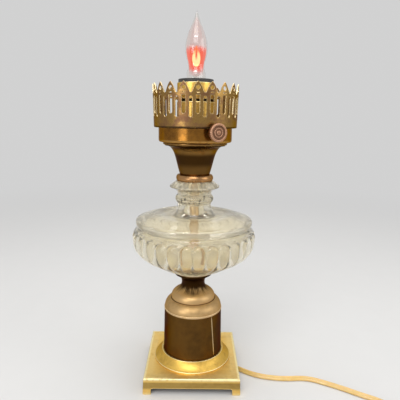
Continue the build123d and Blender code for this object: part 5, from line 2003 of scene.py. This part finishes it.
@dataclass
class SupplyCord(Assembly):
    """The flat supply cord with its put-away coil, its tie and its plug."""

    diameter: float = 0.0053
    thickness: float = 0.0029
    waist: float = 0.34
    run_tilt: float = 55.0
    run_share: float = 0.985
    tail_run: float = 0.05
    twist_run: float = 0.03
    exit_spot: Place = (0.0, 0.0, 0.0109)
    level: float = 0.0027
    coil_centre: Spot = (0.1760, -0.1270)
    coil_radius: float = 0.0290
    coil_floor: float = 0.0008
    coil_turns: float = 8.25
    coil_shift: float = 0.09
    coil_half: float = 1.5
    turn_points: int = 16
    point_pull: float = 0.75
    declared_length: float = 1.83
    plug_length: float = 0.0270
    plug_width: float = 0.0220
    plug_thickness: float = 0.0140
    plug_tail: Spot = (0.0080, 0.0070)
    plug_shoulder: float = 0.0110
    plug_edge: float = 0.0012
    plug_edge_steps: int = 3
    plug_steps: int = 46
    plug_corners: int = 32
    plug_box: float = 0.5
    grip_start: float = 0.012
    grip_length: float = 0.011
    rib_pitch: float = 0.0022
    rib_depth: float = 0.0011
    tie_bearing: float = 125.0
    tie_width: float = 0.0060
    tie_thickness: float = 0.0008
    tie_gap: float = 0.0003
    tie_round: float = 0.0022
    tie_corners: int = 12
    tie_box: float = 0.35

    def run_points(self) -> list[Place]:
        """Route from the pipe's end under the plinth to the coil."""
        flat = [
            (0.0034, 0.0003), (0.0096, 0.0012), (0.0200, 0.0022), (0.0360, 0.0016), (0.0500, -0.0036),
            (0.0615, -0.0126), (0.0750, -0.0200), (0.0920, -0.0240), (0.1080, -0.0248), (0.1215, -0.0234),
            (0.1335, -0.0252), (0.1475, -0.0322), (0.1630, -0.0410), (0.1780, -0.0512), (0.1915, -0.0590),
            (0.2020, -0.0676), (0.2086, -0.0790), (0.2116, -0.0925), (0.2118, -0.1070),
        ]
        start = [self.exit_spot, (0.00002, 0.0, 0.0061)]
        return start + [(x, y, self.level) for x, y in flat] + [(0.2103, -0.1210, 0.0032)]

    def tail_points(self) -> list[Place]:
        """Route from the coil to the plug."""
        return [(0.1720, -0.1613, 0.01405), (0.1620, -0.1615, 0.01345), (0.1500, -0.1600, 0.0100),
                (0.1380, -0.1554, 0.0072), (0.1260, -0.1496, 0.0070), (0.1150, -0.1441, 0.0070)]

    def coil_points(self) -> list[Place]:
        """Turns of the coil, which fill three lanes in three layers one after the other.

        The control points lie outside their turn, because the curve is only pulled towards them.

        Returns:
            The control points.
        """
        lanes = [(1, 0), (0, 0), (-1, 0), (-1, 1), (-1, 2), (0, 2), (0, 1), (1, 1), (1, 2)]
        grow = 1 / (self.point_pull + (1 - self.point_pull) * cos(tau / self.turn_points))
        points = []
        for step in range(1, int(self.coil_turns * self.turn_points)):
            turns = step / self.turn_points
            lane, height = lanes[0]
            for index, (before, after) in enumerate(zip(lanes, lanes[1:]), start=1):
                share = eased((turns - index * (1 - self.coil_shift)) / self.coil_shift + 0.5)
                lane += (after[0] - before[0]) * share
                height += (after[1] - before[1]) * share
            radius = (self.coil_radius + lane * self.diameter) * grow
            angle = -tau * turns
            x, y = self.coil_centre[0] + radius * cos(angle), self.coil_centre[1] + radius * sin(angle)
            points.append((x, y, self.coil_floor + self.diameter * (height + 0.5)))
        return points

    def route(self, points: Sequence[Place]) -> Piece:
        """Lay one smooth curve along control points."""
        data = bpy.data.curves.new("cord_route", "CURVE")
        data.dimensions = "3D"
        data.resolution_u = 6
        spline = data.splines.new("NURBS")
        spline.points.add(len(points) - 1)
        for point, spot in zip(spline.points, points):
            point.co = (*spot, 1.0)
        spline.order_u = 3
        spline.use_endpoint_u = True
        holder = new_object("cord_route", data)
        bpy.context.view_layer.update()
        return holder

    def cord(self, with_pieces: Sequence[Piece]) -> Piece:
        run = self.run_points()
        holder = self.route(run + self.coil_points() + self.tail_points())
        path = [tuple(vert.co) for vert in bake(holder).vertices]
        run_length, length = (sum(dist(*ends) for ends in zip(line, line[1:])) for line in (run, path))
        mesh = CordTree().run("supply_cord", holder, {
            "Width": self.diameter, "Thickness": self.thickness, "Waist": self.waist,
            "Run Tilt": radians(self.run_tilt), "Coil Start": run_length * self.run_share,
            "Coil End": length - self.tail_run, "Twist Run": self.twist_run,
            "Finish": self.finishes["cord_vinyl"]})
        nodes = ("cord_run", "cord_coil", "cord_tail")
        piece = self.put("supply_cord", mesh, Dress("cord_vinyl", "cord_vinyl", nodes, crease=60.0))
        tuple(self.exit_spot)
        return piece

    def plug_size(self, index: int) -> Spot:
        """Width and thickness of the plug at one of its steps, with the tail's taper and the grip ribs."""
        out = self.plug_length * index / self.plug_steps
        share = eased(out / self.plug_shoulder)
        wide = self.plug_tail[0] + (self.plug_width - self.plug_tail[0]) * share
        thick = self.plug_tail[1] + (self.plug_thickness - self.plug_tail[1]) * share
        end = min(index, self.plug_steps - index, self.plug_edge_steps) / self.plug_edge_steps
        cut = self.plug_edge * (1 - sqrt(1 - (1 - end) ** 2))
        along = out - self.grip_start
        grip = max(0.0, sin(along / self.grip_length * pi)) if 0.0 < along < self.grip_length else 0.0
        rib = self.rib_depth * grip * (0.5 - 0.5 * cos(tau * along / self.rib_pitch))
        return (wide - cut, thick - cut - rib)

    def plug(self) -> Piece:
        """Mould the plug with its tapered tail and grip ribs."""
        first, last = (Vector(spot) for spot in self.tail_points()[-2:])
        heading = (last - first).normalized()
        across = heading.cross(UP).normalized()
        columns = []
        for index in range(self.plug_steps + 1):
            wide, thick = self.plug_size(index)
            middle = last + heading * (self.plug_length * index / self.plug_steps)
            column = []
            for corner in range(self.plug_corners):
                angle = tau * corner / self.plug_corners
                side = boxed(cos(angle), self.plug_box) * wide / 2
                up = boxed(sin(angle), self.plug_box) * thick / 2
                column.append(tuple(middle + across * side + UP * up))
            columns.append(column)
        mesh = grid_mesh("plug_moulded", columns, loop_columns=False)
        with editing(mesh) as work:
            bmesh.ops.holes_fill(work, edges=[edge for edge in work.edges if edge.is_boundary], sides=0)
            bmesh.ops.recalc_face_normals(work, faces=work.faces)
        dress = Dress("cord_vinyl", "cord_vinyl", ("plug_body",), crease=40.0)
        return self.put("plug_moulded", mesh, dress)

    def tie(self) -> Piece:
        """Wrap the tie round the coil."""
        turn = radians(self.tie_bearing)
        out, side = Vector((cos(turn), sin(turn), 0.0)), Vector((-sin(turn), cos(turn), 0.0))
        centre = Vector((*self.coil_centre, 0.0)) + out * self.coil_radius
        half = self.coil_half * self.diameter
        half_wide = half + self.tie_gap + self.tie_thickness / 2 - self.tie_round
        half_high = half + (self.tie_gap + self.tie_thickness) / 2 - self.tie_round
        middle = self.coil_floor + half + self.tie_gap / 2
        loop: list[Spot] = []
        for x, z, start in ((1, 1, 0), (-1, 1, 90), (-1, -1, 180), (1, -1, 270)):
            loop += arc((x * half_wide, z * half_high), self.tie_round, start, start + 90, 6)
        columns = []
        for index, spot in enumerate(loop):
            way = (Vector(loop[(index + 1) % len(loop)]) - Vector(loop[index - 1])).normalized()
            normal = Vector((way.y, -way.x))
            column = []
            for corner in range(self.tie_corners):
                angle = tau * corner / self.tie_corners
                wide = boxed(cos(angle), self.tie_box) * self.tie_width / 2
                flat = Vector(spot) + normal * (sin(angle) * self.tie_thickness / 2)
                column.append(tuple(centre + out * flat.x + side * wide + UP * (middle + flat.y)))
            columns.append(column)
        dress = Dress("tie_paper", "tie_paper", ("cord_tie",), crease=40.0)
        return self.put("coil_tie", grid_mesh("coil_tie", columns), dress)

    def build(self) -> None:
        """Build the cord and the pieces on it."""
        self.cord([self.plug(), self.tie(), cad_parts["plug_blades"]])


INNER_NODES: dict[str, tuple[str, ...]] = {
    "zinc_steel": ("check_plate", "lock_washer", "pipe_nut", "terminal_screws", "switch_spindle",
                   "lead_wires"),
    "pipe_brass": ("centre_pipe", "spindle_bush"),
    "shell_brass": ("socket_cap", "screw_shell", "centre_contact"),
    "black_insulator": ("socket_body", "bulb_insulator"),
    "nickel": ("bulb_contact", "plug_blades"),
    "plaster": ("cement_ring",),
    "felt": ("cup_washer",),
    "cord_vinyl": ("supply_lead",),
}


def main() -> None:
    """Build the studio and dress the lamp, piece by piece."""
    logging.basicConfig(level=logging.INFO, format="%(name)s: %(message)s")
    Studio().build()
    finishes = Finishes().build()
    finishes.dress_nodes(INNER_NODES)
    ring = RingTree()
    SupplyCord(finishes).build()
    Base(finishes).build()
    Font(finishes, ring).build()
    Burner(finishes, ring).build()
    Socket(finishes).build()
    Bulb(finishes).build()


if __name__ == "__main__":
    main()
